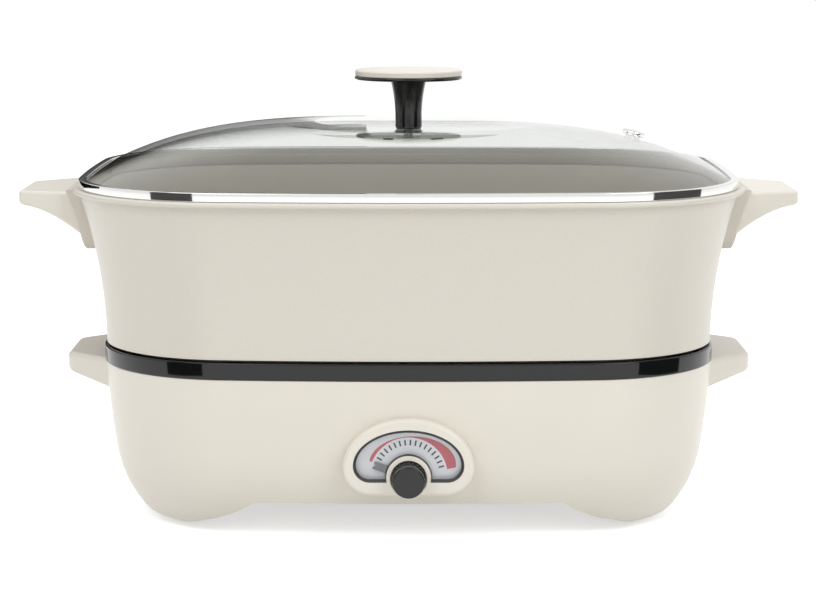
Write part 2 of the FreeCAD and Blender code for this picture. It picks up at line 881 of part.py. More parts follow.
def pot_steps():
    """Closed section of the pot's wall, from the core round the outside to the inside."""
    r = pot_bottom_radius
    arc = r * (1 - sqrt(0.5))
    nest = pot_nest_offset
    inner = nest - pot_wall
    middle = (step_height + lip_under) / 2
    bend = step_height + pot_bend_rise
    inside_middle = (bend + ledge_height) / 2
    lip_middle = (lip_under + pot_top) / 2
    return [(core_offset, pot_bottom), (nest - r, pot_bottom),
            ((nest - arc, pot_bottom + arc), (nest, pot_bottom + r)), (nest, step_height),
            (pot_foot_offset, step_height),
            ((pot_mid_offset, middle), (pot_top_offset, lip_under)),
            (lip_offset - lip_round, lip_under),
            ((lip_offset, lip_middle), (lip_offset - lip_round, pot_top)),
            (mouth_offset, pot_top), (mouth_offset, ledge_height),
            (mouth_offset - ledge_width, ledge_height),
            ((pot_offset(inside_middle, pot_wall), inside_middle),
             (pot_offset(bend, pot_wall), bend)),
            (inner, step_height + pot_nest_rise), (inner, pot_floor_top + r),
            ((inner - arc, pot_floor_top + arc), (inner - r, pot_floor_top)),
            (core_offset, pot_floor_top)]


def pot_body():
    pot = filled(pot_steps(), pot_bottom, pot_floor_top)
    studs = []
    for tip, head in pot_handle_screw_lines():
        post = stud(tip, 0.0).cut(round_bar(screw_radius + push_fit, tip + V(stud_floor, 0, 0),
                                            tip + V(20, 0, 0)))
        studs += [post, mirrored(post)]
    return one_solid(pot.fuse(studs))


def pot_block():
    """The pot as a filled block, to seat the pads on."""
    middle = (step_height + lip_under) / 2
    steps = [(pot_foot_offset, step_height), ((pot_mid_offset, middle), (pot_top_offset, lip_under)),
             (core_offset, lip_under), (core_offset, step_height)]
    return filled(steps, step_height, lip_under)


def pot_handle_screws():
    screws = []
    for tip, head in pot_handle_screw_lines():
        one = screw(tip + V(stud_floor + seat_gap, 0, 0), head)
        screws += [one, mirrored(one)]
    return screws


# ==== lid ====

def lid_rim():
    """Rolled rim: a channel for the glass edge and a guide down inside the pot's mouth."""
    out = rim_offset
    sheet = rim_sheet
    inner = out - rim_cover
    guide = mouth_offset - guide_clearance
    edge = rim_edge
    corner = edge * (1 - sqrt(0.5))
    steps = [(guide, pot_top), (out - edge, pot_top),
             ((out - corner, pot_top + corner), (out, pot_top + edge)), (out, rim_top - edge),
             ((out - corner, rim_top - corner), (out - edge, rim_top)), (inner, rim_top),
             (inner, rim_top - sheet), (out - sheet, rim_top - sheet),
             (out - sheet, glass_edge_bottom - running_fit),
             (guide - sheet, glass_edge_bottom - running_fit),
             (guide - sheet, pot_top - rim_guide_depth), (guide, pot_top - rim_guide_depth)]
    return ring(steps)


def dome_height(share):
    """Height of the glass over its edge, at a share of the way out from the middle."""
    height = glass_rise * (1 - share ** glass_fullness)
    if share < seat_crest:
        way = (share - seat_share) / (seat_crest - seat_share)
        height -= seat_sink * (1 - way * way * (3 - 2 * way))
    return height


def dome(drop):
    """Filled dome: scaled plan outlines, sunk flat under the knob, lowered by a drop."""
    base = plan_wire(rim_offset - rim_cover - 0.2, 0.0)
    outer_step = (1.0 - seat_crest) / glass_sections
    seat_step = (seat_crest - seat_share) / seat_sections
    shares = [1.0 - outer_step * number for number in range(glass_sections)]
    shares += [seat_crest - seat_step * number for number in range(seat_sections + 1)]
    wires = []
    for share in shares:
        wire = base.copy()
        turn = FreeCAD.Matrix()
        turn.scale(share, share, 1.0)
        wire = wire.transformGeometry(turn)
        wire.translate(V(0, 0, glass_edge_top + dome_height(share) - drop))
        wires.append(wire)
    return Part.makeLoft(wires, True, False, False, 5)


def vent_frame():
    """Middle of the vent on the glass and the direction out of the glass there."""
    offset = rim_offset - rim_cover - 0.2
    angle = side_half_angle
    edge = arc_point((corner_x, corner_y, corner_radius), angle, offset, 0.0)
    normal = V(cos(angle), sin(angle), 0)
    share = vent_position
    fall = glass_rise * glass_fullness * share ** (glass_fullness - 1) / normal.dot(edge)
    z = glass_edge_top + dome_height(share)
    out = V(normal.x * fall, normal.y * fall, 1.0).normalize()
    return V(edge.x * share, edge.y * share, z), out


def lid_glass():
    low = glass_edge_bottom
    margin = rim_offset - rim_sheet - 0.6
    edge = prism(margin, low, glass_edge_top).cut(prism(rim_offset - rim_cover - 0.4, 0.0, rim_top))
    shell = dome(0.0).cut(dome(glass_thickness))
    shell = shell.fuse(edge)
    place, out = vent_frame()
    holes = [round_bar(knob_screw_radius + 1.2, V(0, 0, low), V(0, 0, seat_top + 1)),
             round_bar(vent_collar + push_fit, place - out * 10, place + out * 10)]
    return one_solid(shell.cut(holes))


def steam_vent_eyelet():
    """Rolled metal eyelet that clips through the glass."""
    place, out = vent_frame()
    below = -glass_thickness - 0.9
    sag = 0.25
    steps = [(vent_bore, below - 0.4), (vent_collar + 1.0, below - 0.4),
             (vent_collar + 1.0, below + 0.4), (vent_collar, below + 0.4), (vent_collar, sag),
             (vent_radius, sag),
             ((vent_radius - 0.5, 0.75 * vent_proud), (vent_radius - 1.9, vent_proud)),
             (vent_bore + 0.8, vent_proud),
             ((vent_bore + 0.2, vent_proud - 0.2), (vent_bore, vent_proud - 0.8))]
    return turned(steps, place, out)


def lid_knob_cap():
    r = cap_radius
    top = plate_top + cap_height
    edge = cap_edge
    corner = edge * (1 - sqrt(0.5))
    steps = [(0.0, plate_top), (r - 0.4, plate_top), (r, plate_top + 0.4), (r, top - edge),
             ((r - corner, top - corner), (r - edge, top)), (0.0, top)]
    return turned(steps)


def lid_knob_plate():
    r = plate_radius
    edge = plate_height / 2
    steps = [(0.0, stem_top), (r - edge, stem_top), ((r, stem_top + edge), (r - edge, plate_top)),
             (0.0, plate_top)]
    return turned(steps)


def lid_knob_stem():
    flare = stem_top - stem_flare_height
    spread = stem_flare_radius - stem_radius
    round_radius = (stem_flare_height ** 2 + spread ** 2) / (2 * spread)
    half = stem_flare_height / 2
    middle = stem_radius + round_radius - sqrt(round_radius ** 2 - half ** 2)
    bore = knob_screw_radius + push_fit
    screw_top = stem_top - 4
    steps = [(bore, stem_bottom), (stem_radius - 0.8, stem_bottom),
             ((stem_radius - 0.23, stem_bottom + 0.23), (stem_radius, stem_bottom + 0.8)),
             (stem_radius, flare), ((middle, flare + half), (stem_flare_radius, stem_top)),
             (0.0, stem_top), (0.0, screw_top), (bore, screw_top)]
    return turned(steps)


def lid_knob_gasket():
    steps = [(knob_screw_radius + push_fit, seat_top), (stem_radius - 0.5, seat_top),
             (stem_radius - 0.5, stem_bottom), (knob_screw_radius + push_fit, stem_bottom)]
    return turned(steps)


def lid_knob_washer():
    high = seat_top - glass_thickness
    steps = [(knob_screw_radius + push_fit, high - 1.2), (knob_washer_radius, high - 1.2),
             (knob_washer_radius, high - 0.3), (knob_screw_radius + push_fit, high)]
    return turned(steps)


def lid_knob_screw():
    head = seat_top - glass_thickness - 1.2
    crown = head - 2.4
    shank = round_bar(knob_screw_radius, V(0, 0, head - 0.2), V(0, 0, stem_top - 5))
    steps = [(0.0, crown), (knob_screw_head * 0.5, crown),
             ((knob_screw_head * 0.88, crown + 0.9), (knob_screw_head, head)), (0.0, head)]
    solid = shank.fuse(turned(steps))
    for length, width in ((6.0, 1.1), (1.1, 6.0)):
        solid = solid.cut(box((-length / 2, -width / 2, crown - 1), (length / 2, width / 2, crown + 1.2)))
    return one_solid(solid)


# ==== heater ====

def reflector_pan():
    """Sheet-metal pan: a flange under the trim ring, a sloping side and a flat floor."""
    sheet = pan_sheet
    top = base_top - pan_top_drop
    outer = -shell_wall - seat_gap
    wall = ring_inner_offset + 0.1
    neck = top - pan_neck_drop
    floor_in = pan_floor_offset
    low_neck = top - pan_shoulder_drop
    shoulder = wall - pan_shoulder_run
    steps = [(outer, top), (wall, top), (wall, neck), (shoulder, low_neck), (floor_in, pan_inside),
             (core_offset, pan_inside), (core_offset, pan_floor), (floor_in + 0.6, pan_floor),
             (shoulder + sheet, low_neck - 0.4), (wall + sheet, neck - 0.4),
             (wall + sheet, top - sheet), (outer, top - sheet)]
    pan = filled(steps, pan_floor, pan_inside)
    cuts = [round_bar(post_pin_radius + push_fit, V(x, y, pan_floor - 1), V(x, y, pan_inside + 1))
            for x, y in post_places()]
    cuts += [round_bar(pan_lead_hole, V(x, element_half_width, pan_floor - 1),
                       V(x, element_half_width, pan_inside + 1))
             for x in (-element_leg_half, element_leg_half)]
    cuts.append(round_bar(sensor_radius - sensor_wall, V(0, 0, pan_floor - 1), V(0, 0, pan_inside + 1)))
    x = capillary_drop_x()
    cuts.append(round_bar(capillary_radius + 1.5, V(x, bulb_y, pan_floor - 1),
                          V(x, bulb_y, pan_inside + 1)))
    return one_solid(pan.cut(cuts))


def heating_plate():
    low = heater_bottom
    edge = plate_edge
    steps = [(plate_offset, low), (plate_offset, pot_bottom - edge),
             (plate_offset - edge, pot_bottom), (core_offset, pot_bottom), (core_offset, low)]
    plate = filled(steps, low, pot_bottom)
    cuts = [round_bar(plate_bore, V(0, 0, low - 1), V(0, 0, pot_bottom + 1))]
    cuts += [round_bar(post_pin_radius + push_fit, V(x, y, low - 1), V(x, y, low + post_pin_length))
             for x, y in post_places()]
    return one_solid(plate.cut(cuts))


def heating_element():
    """Sheathed heater bent round under the plate, its two ends down through the pan."""
    x, y, z = element_half_length, element_half_width, element_height
    low = z - element_leg_drop
    leg = element_leg_half
    points = [V(leg, y, low), V(leg, y, z), V(x, y, z), V(x, -y, z), V(-x, -y, z), V(-x, y, z),
              V(-leg, y, z), V(-leg, y, low)]
    bend, corner = element_leg_turn, element_corner
    return tube(points, [bend, corner, corner, corner, corner, bend], element_radius)


def saddle(x, y, radius, along_x):
    """Strap that holds a bar of a radius up against the plate."""
    z = heater_bottom
    inner = radius + push_fit
    low = z - 2 * radius - push_fit
    half = clamp_width / 2
    wide = inner + clamp_sheet
    foot_reach = wide + 7.0
    arms = [((-half, -wide, low - clamp_sheet), (half, wide, z)),
            ((-half, -foot_reach, z - clamp_sheet), (half, foot_reach, z))]
    slot = box((-half - 1, -inner, low), (half + 1, inner, z + 1))
    strap = box(*arms[0]).fuse(box(*arms[1])).cut(slot)
    if not along_x:
        strap.rotate(V(0, 0, 0), Z_AXIS, 90)
    strap.translate(V(x, y, 0))
    return one_solid(strap)


def element_clamps():
    return [saddle(0, -element_half_width, element_radius, True),
            saddle(element_half_length, 0, element_radius, False),
            saddle(-element_half_length, 0, element_radius, False)]


def plate_posts():
    posts = []
    for x, y in post_places():
        body = round_bar(post_radius, V(x, y, pan_inside), V(x, y, heater_bottom))
        pin = round_bar(post_pin_radius, V(x, y, pan_floor - post_pin_length),
                        V(x, y, heater_bottom + post_pin_length - 1))
        posts.append(one_solid(body.fuse(pin)))
    return posts


# ==== pot sensor ====

sensor_top = pot_bottom - seat_gap
flange_top = pan_inside + 1.5


def sensor_housing():
    low = pan_inside
    bore = sensor_radius + running_fit
    steps = [(sensor_radius - sensor_wall - 2.0, low), (sensor_flange, low), (sensor_flange, flange_top),
             (sensor_housing_radius, flange_top), (sensor_housing_radius, low + sensor_housing_height),
             (bore, low + sensor_housing_height), (bore, flange_top),
             (sensor_radius - sensor_wall - 2.0, flange_top)]
    return turned(steps)


def sensor_cap():
    bore = sensor_radius - sensor_wall
    edge = 0.8
    steps = [(0.0, sensor_top), (sensor_radius - edge, sensor_top), (sensor_radius, sensor_top - edge),
             (sensor_radius, sensor_top - sensor_skirt), (bore, sensor_top - sensor_skirt),
             (bore, sensor_top - sensor_wall), (0.0, sensor_top - sensor_wall)]
    return turned(steps)


def sensor_spring():
    """Coil whose turns are six tangent arcs each."""
    low = flange_top + spring_wire + 0.05
    high = sensor_top - sensor_wall - spring_wire - 0.05
    count = round(6 * spring_turns)
    reach = spring_radius / cos(pi / 6)
    points = [V(reach * cos(k * pi / 3), reach * sin(k * pi / 3), low + (high - low) * k / count)
              for k in range(count + 1)]
    return tube(points, [0.9 * spring_radius] * (count - 1), spring_wire)


# ==== dial ====

def dial_outline(half, crown, side_radius, side_height, grow, y):
    """Half an ellipse on top of a flat bottom with round corners, grown all round."""
    z = side_height
    r = side_radius + grow
    x = half - side_radius
    wide = half + grow
    high = crown + grow
    ellipse = upper_ellipse(wide, high, y, z)
    low_corner = r * sqrt(0.5)
    right = Part.Arc(V(x, y, z - r), V(x + low_corner, y, z - low_corner), V(wide, y, z)).toShape()
    left = Part.Arc(V(-wide, y, z), V(-x - low_corner, y, z - low_corner), V(-x, y, z - r)).toShape()
    return right, ellipse, left, x, z - r


def upper_ellipse(wide, high, y, z):
    """Upper half of an ellipse that faces the front."""
    if wide >= high:
        curve = Part.Ellipse(V(wide, y, z), V(0, y, z + high), V(0, y, z))
    else:
        curve = Part.Ellipse(V(0, y, z + high), V(-wide, y, z), V(0, y, z))
    start = curve.parameter(V(wide, y, z))
    middle = curve.parameter(V(0, y, z + high))
    end = curve.parameter(V(-wide, y, z))
    if (middle - start) % (2 * pi) > pi:
        start, end = end, start
    return curve.toShape(start, end if end > start else end + 2 * pi)


def bezel_wire(grow, y):
    right, ellipse, left, x, low = dial_outline(bezel_half, bezel_crown, bezel_side_radius,
                                                bezel_side_height, grow, y)
    bottom = Part.LineSegment(V(-x, y, low), V(x, y, low)).toShape()
    return Part.Wire(Part.__sortEdges__([bottom, right, ellipse, left]))


def window_wire(grow, inner_grow, y):
    """Arched window over the knob: its inner edge is an arc about the knob's axis."""
    right, ellipse, left, x, low = dial_outline(window_half, window_crown, window_side_radius,
                                                window_side_height, grow, y)
    radius = window_inner_radius - inner_grow
    drop = knob_axis_height - low
    if abs(drop) < radius:
        foot_x = sqrt(radius ** 2 - drop ** 2)
    else:
        foot_x = radius
    inner = Part.Arc(V(foot_x, y, low), V(0, y, knob_axis_height + radius), V(-foot_x, y, low)).toShape()
    bottom_right = Part.LineSegment(V(foot_x, y, low), V(x, y, low)).toShape()
    bottom_left = Part.LineSegment(V(-x, y, low), V(-foot_x, y, low)).toShape()
    return Part.Wire(Part.__sortEdges__([bottom_right, right, ellipse, left, bottom_left, inner]))


def dial_outline_block(grow, front, back):
    """Filled bezel outline between two places along Y."""
    return Part.Face(bezel_wire(grow, front)).extrude(V(0, back - front, 0))


def window_block(grow, inner_grow, front, back):
    return Part.Face(window_wire(grow, inner_grow, front)).extrude(V(0, back - front, 0))


def rounded_front(block, front, radius):
    """Rounds a block's edge at the front."""
    edges = [edge for edge in block.Edges
             if abs(edge.BoundBox.YMin - front) < 1e-3 and abs(edge.BoundBox.YMax - front) < 1e-3]
    return block.makeFillet(radius, edges)


def along_y(radius, front, back):
    """Bar on the knob's axis."""
    return round_bar(radius, V(0, front, knob_axis_height), V(0, back, knob_axis_height))


def dial_bezel(outside):
    front = -bezel_front
    seat = -bracket_y - bezel_seat_gap
    body = rounded_front(dial_outline_block(0.0, front, seat), front, bezel_edge)
    collar = along_y(collar_radius, front - collar_proud, seat)
    body = body.fuse(rounded_front(collar, front - collar_proud, collar_edge))
    body = body.cut(outside)
    cuts = [dial_outline_block(-bezel_side_wall, bezel_back_face, dial_plate_front),
            dial_outline_block(-bezel_side_wall + plate_ledge, dial_plate_front, 0.0),
            window_block(frame_edge + push_fit, frame_inner_edge + push_fit, front - 1,
                         bezel_back_face + 1),
            along_y(collar_bore, front - collar_proud - 1, socket_floor_y),
            along_y(spindle_radius + 0.6, front, 0.0)]
    return one_solid(body.cut(cuts))


def dial_frame():
    """Dark chamfered edge of the window."""
    front = -bezel_front
    blank = window_block(frame_edge, frame_inner_edge, front, bezel_back_face)
    opening = Part.makeLoft([window_wire(frame_edge - 0.1, frame_inner_edge - 0.1, front),
                             window_wire(0.0, 0.0, bezel_back_face - 0.3)], True, True)
    through = window_block(0.0, 0.0, bezel_back_face - 0.3, bezel_back_face + 1)
    return one_solid(blank.cut([opening, through]))


def dial_lens():
    return window_block(lens_margin, lens_margin, bezel_back_face, lens_back)


def dial_plate():
    grow = -bezel_side_wall + plate_ledge - push_fit
    plate = dial_outline_block(grow, dial_plate_front, dial_plate_back)
    return one_solid(plate.cut(along_y(spindle_radius + 0.6, -bezel_front, 0.0)))


def dial_pointer():
    hub = along_y(pointer_hub, pointer_front, pointer_back)
    half = pointer_width / 2
    arm = box((0, pointer_front, -half), (pointer_reach, pointer_back, half))
    arm.rotate(V(0, 0, 0), Y_AXIS, -pointer_angle)
    arm.translate(V(0, 0, knob_axis_height))
    return one_solid(hub.fuse(arm).cut(along_y(spindle_radius, -bezel_front, 0.0)))


def control_knob():
    """Ribbed knob with a smooth face, turned about an axis to the front."""
    r = knob_radius
    edge = knob_face_radius
    corner = edge * (1 - sqrt(0.5))
    length = knob_length
    steps = [(0.0, 0.0), (r, 0.0), (r, length - edge), ((r - corner, length - corner), (r - edge, length)),
             (0.0, length)]
    body = turned(steps, V(0, knob_back, knob_axis_height), V(0, -1, 0))
    cuts = [along_y(spindle_radius, spindle_front, knob_back + 1)]
    groove = knob_rib_depth * 1.6
    for number in range(knob_ribs):
        angle = 2 * pi * number / knob_ribs
        x = (r + groove - knob_rib_depth) * cos(angle)
        z = knob_axis_height + (r + groove - knob_rib_depth) * sin(angle)
        cuts.append(round_bar(groove, V(x, knob_face + edge + 0.8, z), V(x, knob_back + 1, z)))
    return one_solid(body.cut(cuts))


def knob_spindle():
    rear = bracket_back + thermostat_depth - 3
    return along_y(spindle_radius, spindle_front, rear)


# ==== thermostat ====

def thermostat_bracket():
    front = -bracket_y
    half = bracket_width / 2
    top = floor_top + bracket_height
    plate = box((-half, front, floor_top), (half, bracket_back, top))
    foot_plate = box((-half, front, floor_top), (half, front + bracket_foot, floor_top + bracket_sheet))
    hole = along_y(bushing_radius + push_fit, front - 1, bracket_back + 1)
    return one_solid(plate.fuse(foot_plate).cut(hole))


def thermostat_body():
    half = thermostat_width / 2
    low = knob_axis_height - thermostat_height / 2
    rear = bracket_back + thermostat_depth
    body = box((-half, bracket_back, low), (half, rear, low + thermostat_height))
    body = body.makeChamfer(1.5, [edge for edge in body.Edges if abs(edge.tangentAt(0).y) > 0.9])
    body = body.fuse(along_y(bushing_radius, bracket_back - bushing_length, bracket_back))
    tabs = [box((x - 0.4, rear, low + 4), (x + 0.4, rear + 8, low + 10)) for x in (-6, 6)]
    body = body.fuse(tabs)
    bore = along_y(spindle_radius + running_fit, -bezel_front, rear - 2)
    return one_solid(body.cut(bore))


def thermostat_nut():
    front = -bracket_y - nut_height
    centre = V(0, front, knob_axis_height)
    nut = hexagon(nut_flats, centre, Y_AXIS).extrude(V(0, nut_height, 0))
    return one_solid(nut.cut(along_y(bushing_radius + push_fit, front - 1, -bracket_y + 1)))


def capillary_drop_x():
    return -bulb_length / 2 - capillary_overhang


def thermostat_bulb():
    """Bulb against the plate, with its capillary down through the pan to the thermostat."""
    z = heater_bottom - bulb_radius - push_fit
    end = bulb_length / 2
    bulb = round_bar(bulb_radius, V(-end, bulb_y, z), V(end, bulb_y, z))
    low = knob_axis_height + 4
    drop = capillary_drop_x()
    rear = bracket_back + thermostat_depth
    points = [V(-end + 1, bulb_y, z), V(drop, bulb_y, z), V(drop, bulb_y, low),
              V(-capillary_side, rear + capillary_loop, low), V(-capillary_side, rear, low)]
    line = tube(points, [capillary_bend, capillary_bend, capillary_bend], capillary_radius)
    return one_solid(bulb.fuse(line))


def bulb_clip():
    return saddle(0.45 * bulb_length, bulb_y, bulb_radius, True)


def thermal_fuse():
    z = heater_bottom - fuse_radius - push_fit
    x = sensor_flange + fuse_start
    body = round_bar(fuse_radius, V(x, fuse_y, z), V(x + fuse_length, fuse_y, z))
    lead = round_bar(0.6, V(x - 5, fuse_y, z), V(x + fuse_length + 5, fuse_y, z))
    return one_solid(body.fuse(lead))


def fuse_clip():
    return saddle(sensor_flange + fuse_start + fuse_length / 2, fuse_y, fuse_radius, True)


# ==== inlet ====

def inlet_block(half_x, half_z, front, back):
    return box((-half_x, front, inlet_height - half_z), (half_x, back, inlet_height + half_z))


def inlet_screw_lines():
    """Tip and head seat of the two screws through the inlet's flange."""
    return [(V(x, inlet_face - inlet_screw_length, inlet_height), V(x, inlet_face, inlet_height))
            for x in (-inlet_screw_pitch / 2, inlet_screw_pitch / 2)]


def inlet_socket(outside):
    """Appliance inlet: a flange on the shell, a body through it and a well for the connector."""
    rear = inlet_face
    flange = inlet_block(inlet_flange_length / 2, inlet_flange_height / 2, rear - inlet_flange_reach,
                         rear)
    upright = [edge for edge in flange.Edges if abs(edge.tangentAt(0).y) > 0.9]
    flange = flange.makeFillet(inlet_flange_corner, upright).cut(outside)
    body = inlet_block(inlet_body_length / 2, inlet_body_height / 2, rear - inlet_depth, rear - 1)
    well = inlet_block(inlet_opening_length / 2, inlet_opening_height / 2, rear - inlet_well, rear + 1)
    lower = [edge for edge in well.Edges
             if abs(edge.tangentAt(0).y) > 0.9 and edge.CenterOfMass.z < inlet_height]
    well = well.makeChamfer(inlet_opening_chamfer, lower)
    holes = [round_bar(screw_radius + push_fit, tip, head + V(0, 1, 0))
             for tip, head in inlet_screw_lines()]
    holes += [pin_bar(x, z, rear - inlet_depth - 5, rear) for x, z in inlet_pin_places()]
    return one_solid(flange.fuse(body).cut([well] + holes))


def inlet_pin_places():
    return [(-inlet_pin_pitch, inlet_height), (inlet_pin_pitch, inlet_height),
            (0.0, inlet_height + inlet_pin_height)]


def pin_bar(x, z, front, rear):
    return box((x - inlet_pin_width / 2, front, z - inlet_pin_height / 2),
               (x + inlet_pin_width / 2, rear, z + inlet_pin_height / 2))


def inlet_pins():
    tip = inlet_face - inlet_well + inlet_pin_length
    tail = inlet_face - inlet_depth - inlet_pin_tail
    return [pin_bar(x, z, tail, tip) for x, z in inlet_pin_places()]


def inlet_screws():
    return [screw(tip, head) for tip, head in inlet_screw_lines()]


def terminal_block():
    half = block_length / 2
    front = block_y - block_width / 2
    block = box((-half, front, floor_top), (half, front + block_width, floor_top + block_height))
    wells = [round_bar(block_screw_bore, V(x, block_y, floor_top + block_height - 5),
                       V(x, block_y, floor_top + block_height + 1)) for x in lead_places()]
    ways = [tube(points, radii, lead_radius + push_fit) for points, radii in lead_paths()]
    return one_solid(block.cut(wells + ways))


def lead_places():
    return [-block_length / 2 + block_length * (k + 0.5) / 4 for k in range(4)]


def lead_paths():
    """Routes from the inlet's pins to the block and from the block to the heater's ends."""
    wells = lead_places()
    level = floor_top + block_height / 2
    tail = inlet_face - inlet_depth - inlet_pin_tail - lead_gap
    inside = block_width / 2 - lead_inside
    low = element_height - element_leg_drop
    paths = []
    for well, pin in ((wells[0], -inlet_pin_pitch), (wells[3], inlet_pin_pitch)):
        paths.append(([V(pin, tail, inlet_height), V(well, block_y + inside, level)], []))
    for well, leg in ((wells[1], -element_leg_half), (wells[2], element_leg_half)):
        points = [V(leg, element_half_width, low), V(leg, element_half_width, level),
                  V(well, block_y - inside, level)]
        paths.append((points, [lead_bend]))
    return paths


def internal_leads():
    return [tube(points, radii, lead_radius) for points, radii in lead_paths()]


# ==== export ====

def export(node, shape):
    """Writes one node's STEP file and prints what it holds."""
    if isinstance(shape, list):
        shape = shape[0] if len(shape) == 1 else Part.makeCompound(shape)
    bounds = shape.BoundBox
    shape.exportStep("parts/%s.step" % node)
    print("%-22s solids %2d valid %s volume %10.1f  x %7.1f %7.1f  y %7.1f %7.1f  z %6.1f %6.1f" % (
        node, len(shape.Solids), shape.isValid(), shape.Volume, bounds.XMin, bounds.XMax,
        bounds.YMin, bounds.YMax, bounds.ZMin, bounds.ZMax))


def main():
    os.makedirs("parts", exist_ok=True)
    outside = shell_outside()
    export("base_shell", base_shell(outside))
    export("base_trim_ring", base_trim_ring())
    grip = base_handle(outside)
    export("base_handle_right", grip)
    export("base_handle_left", mirrored(grip))
    export("base_handle_screws", base_handle_screws())
    export("bottom_cover", bottom_cover())
    export("bottom_cover_screws", bottom_cover_screws())
    for name, place in foot_places().items():
        export(name, foot(*place))
    export("reflector_pan", reflector_pan())
    export("heating_plate", heating_plate())
    export("heating_element", heating_element())
    export("element_clamps", element_clamps())
    export("plate_posts", plate_posts())
    export("sensor_housing", sensor_housing())
    export("sensor_cap", sensor_cap())
    export("sensor_spring", sensor_spring())
    export("dial_bezel", dial_bezel(outside))
    export("dial_frame", dial_frame())
    export("dial_lens", dial_lens())
    export("dial_plate", dial_plate())
    export("dial_pointer", dial_pointer())
    export("control_knob", control_knob())
    export("knob_spindle", knob_spindle())
    export("thermostat_bracket", thermostat_bracket())
    export("thermostat_body", thermostat_body())
    export("thermostat_nut", thermostat_nut())
    export("thermostat_bulb", thermostat_bulb())
    export("bulb_clip", bulb_clip())
    export("thermal_fuse", thermal_fuse())
    export("fuse_clip", fuse_clip())
    export("inlet_socket", inlet_socket(outside))
    export("inlet_pins", inlet_pins())
    export("inlet_screws", inlet_screws())
    export("terminal_block", terminal_block())
    export("internal_leads", internal_leads())
    export("pot_body", pot_body())
    pad = pot_handle_pad(pot_block())
    export("pot_handle_pad_right", pad)
    export("pot_handle_pad_left", mirrored(pad))
    pot_grip = pot_handle(pad_side())
    export("pot_handle_right", pot_grip)
    export("pot_handle_left", mirrored(pot_grip))
    export("pot_handle_screws", pot_handle_screws())
    export("lid_rim", lid_rim())
    export("lid_glass", lid_glass())
    export("steam_vent_eyelet", steam_vent_eyelet())
    export("lid_knob_gasket", lid_knob_gasket())
    export("lid_knob_washer", lid_knob_washer())
    export("lid_knob_screw", lid_knob_screw())
    export("lid_knob_stem", lid_knob_stem())
    export("lid_knob_plate", lid_knob_plate())
    export("lid_knob_cap", lid_knob_cap())


main()
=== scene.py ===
import json
from math import atan, atan2, cos, pi, radians, sin, sqrt

import bmesh
import bpy
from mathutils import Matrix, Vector

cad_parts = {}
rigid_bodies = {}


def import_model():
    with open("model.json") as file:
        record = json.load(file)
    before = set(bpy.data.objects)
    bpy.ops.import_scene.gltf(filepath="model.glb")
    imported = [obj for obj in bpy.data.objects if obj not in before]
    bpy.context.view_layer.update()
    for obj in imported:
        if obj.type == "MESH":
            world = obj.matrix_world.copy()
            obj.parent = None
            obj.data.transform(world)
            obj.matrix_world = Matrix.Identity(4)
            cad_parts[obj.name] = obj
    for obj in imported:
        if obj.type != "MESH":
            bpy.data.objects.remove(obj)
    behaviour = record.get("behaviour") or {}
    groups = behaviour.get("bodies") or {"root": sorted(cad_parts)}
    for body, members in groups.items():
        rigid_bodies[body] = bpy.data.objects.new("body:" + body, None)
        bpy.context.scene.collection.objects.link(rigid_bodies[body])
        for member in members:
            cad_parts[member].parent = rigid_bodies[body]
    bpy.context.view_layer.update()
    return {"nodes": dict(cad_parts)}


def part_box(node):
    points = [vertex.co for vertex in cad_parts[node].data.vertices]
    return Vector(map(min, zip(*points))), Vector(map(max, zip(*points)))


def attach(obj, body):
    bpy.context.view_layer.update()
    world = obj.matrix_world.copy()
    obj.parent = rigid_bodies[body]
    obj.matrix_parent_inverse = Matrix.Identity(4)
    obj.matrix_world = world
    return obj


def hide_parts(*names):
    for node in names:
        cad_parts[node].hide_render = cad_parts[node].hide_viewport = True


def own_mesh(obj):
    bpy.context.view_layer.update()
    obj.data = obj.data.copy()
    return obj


for thing in list(bpy.data.objects):
    bpy.data.objects.remove(thing, do_unlink=True)

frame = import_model()
nodes = frame["nodes"]
print("frame loaded:", len(nodes), "nodes")

mm = 0.001


# small helpers

def linear(hexText):
    # sRGB hex to the linear values that the shaders take
    parts = [int(hexText[i:i + 2], 16) / 255 for i in (1, 3, 5)]
    return tuple(v / 12.92 if v <= 0.04045 else ((v + 0.055) / 1.055) ** 2.4 for v in parts) + (1.0,)


def addNode(tree, kind, settings=None, links=None):
    # adds one node; a link is a node, one of its sockets or a plain value to set
    node = tree.nodes.new(kind)
    for name, value in (settings or {}).items():
        setattr(node, name, value)
    for key, value in (links or {}).items():
        if isinstance(value, bpy.types.Node):
            value = value.outputs[0]
        if isinstance(value, bpy.types.NodeSocket):
            tree.links.new(value, node.inputs[key])
        else:
            node.inputs[key].default_value = value
    return node


def newMaterial(name, colour, **values):
    material = bpy.data.materials.new(name)
    material.use_nodes = True
    shader = material.node_tree.nodes["Principled BSDF"]
    shader.inputs["Base Color"].default_value = linear(colour)
    for socket, value in values.items():
        shader.inputs[socket.replace("_", " ")].default_value = value
    return material, material.node_tree, shader


# materials

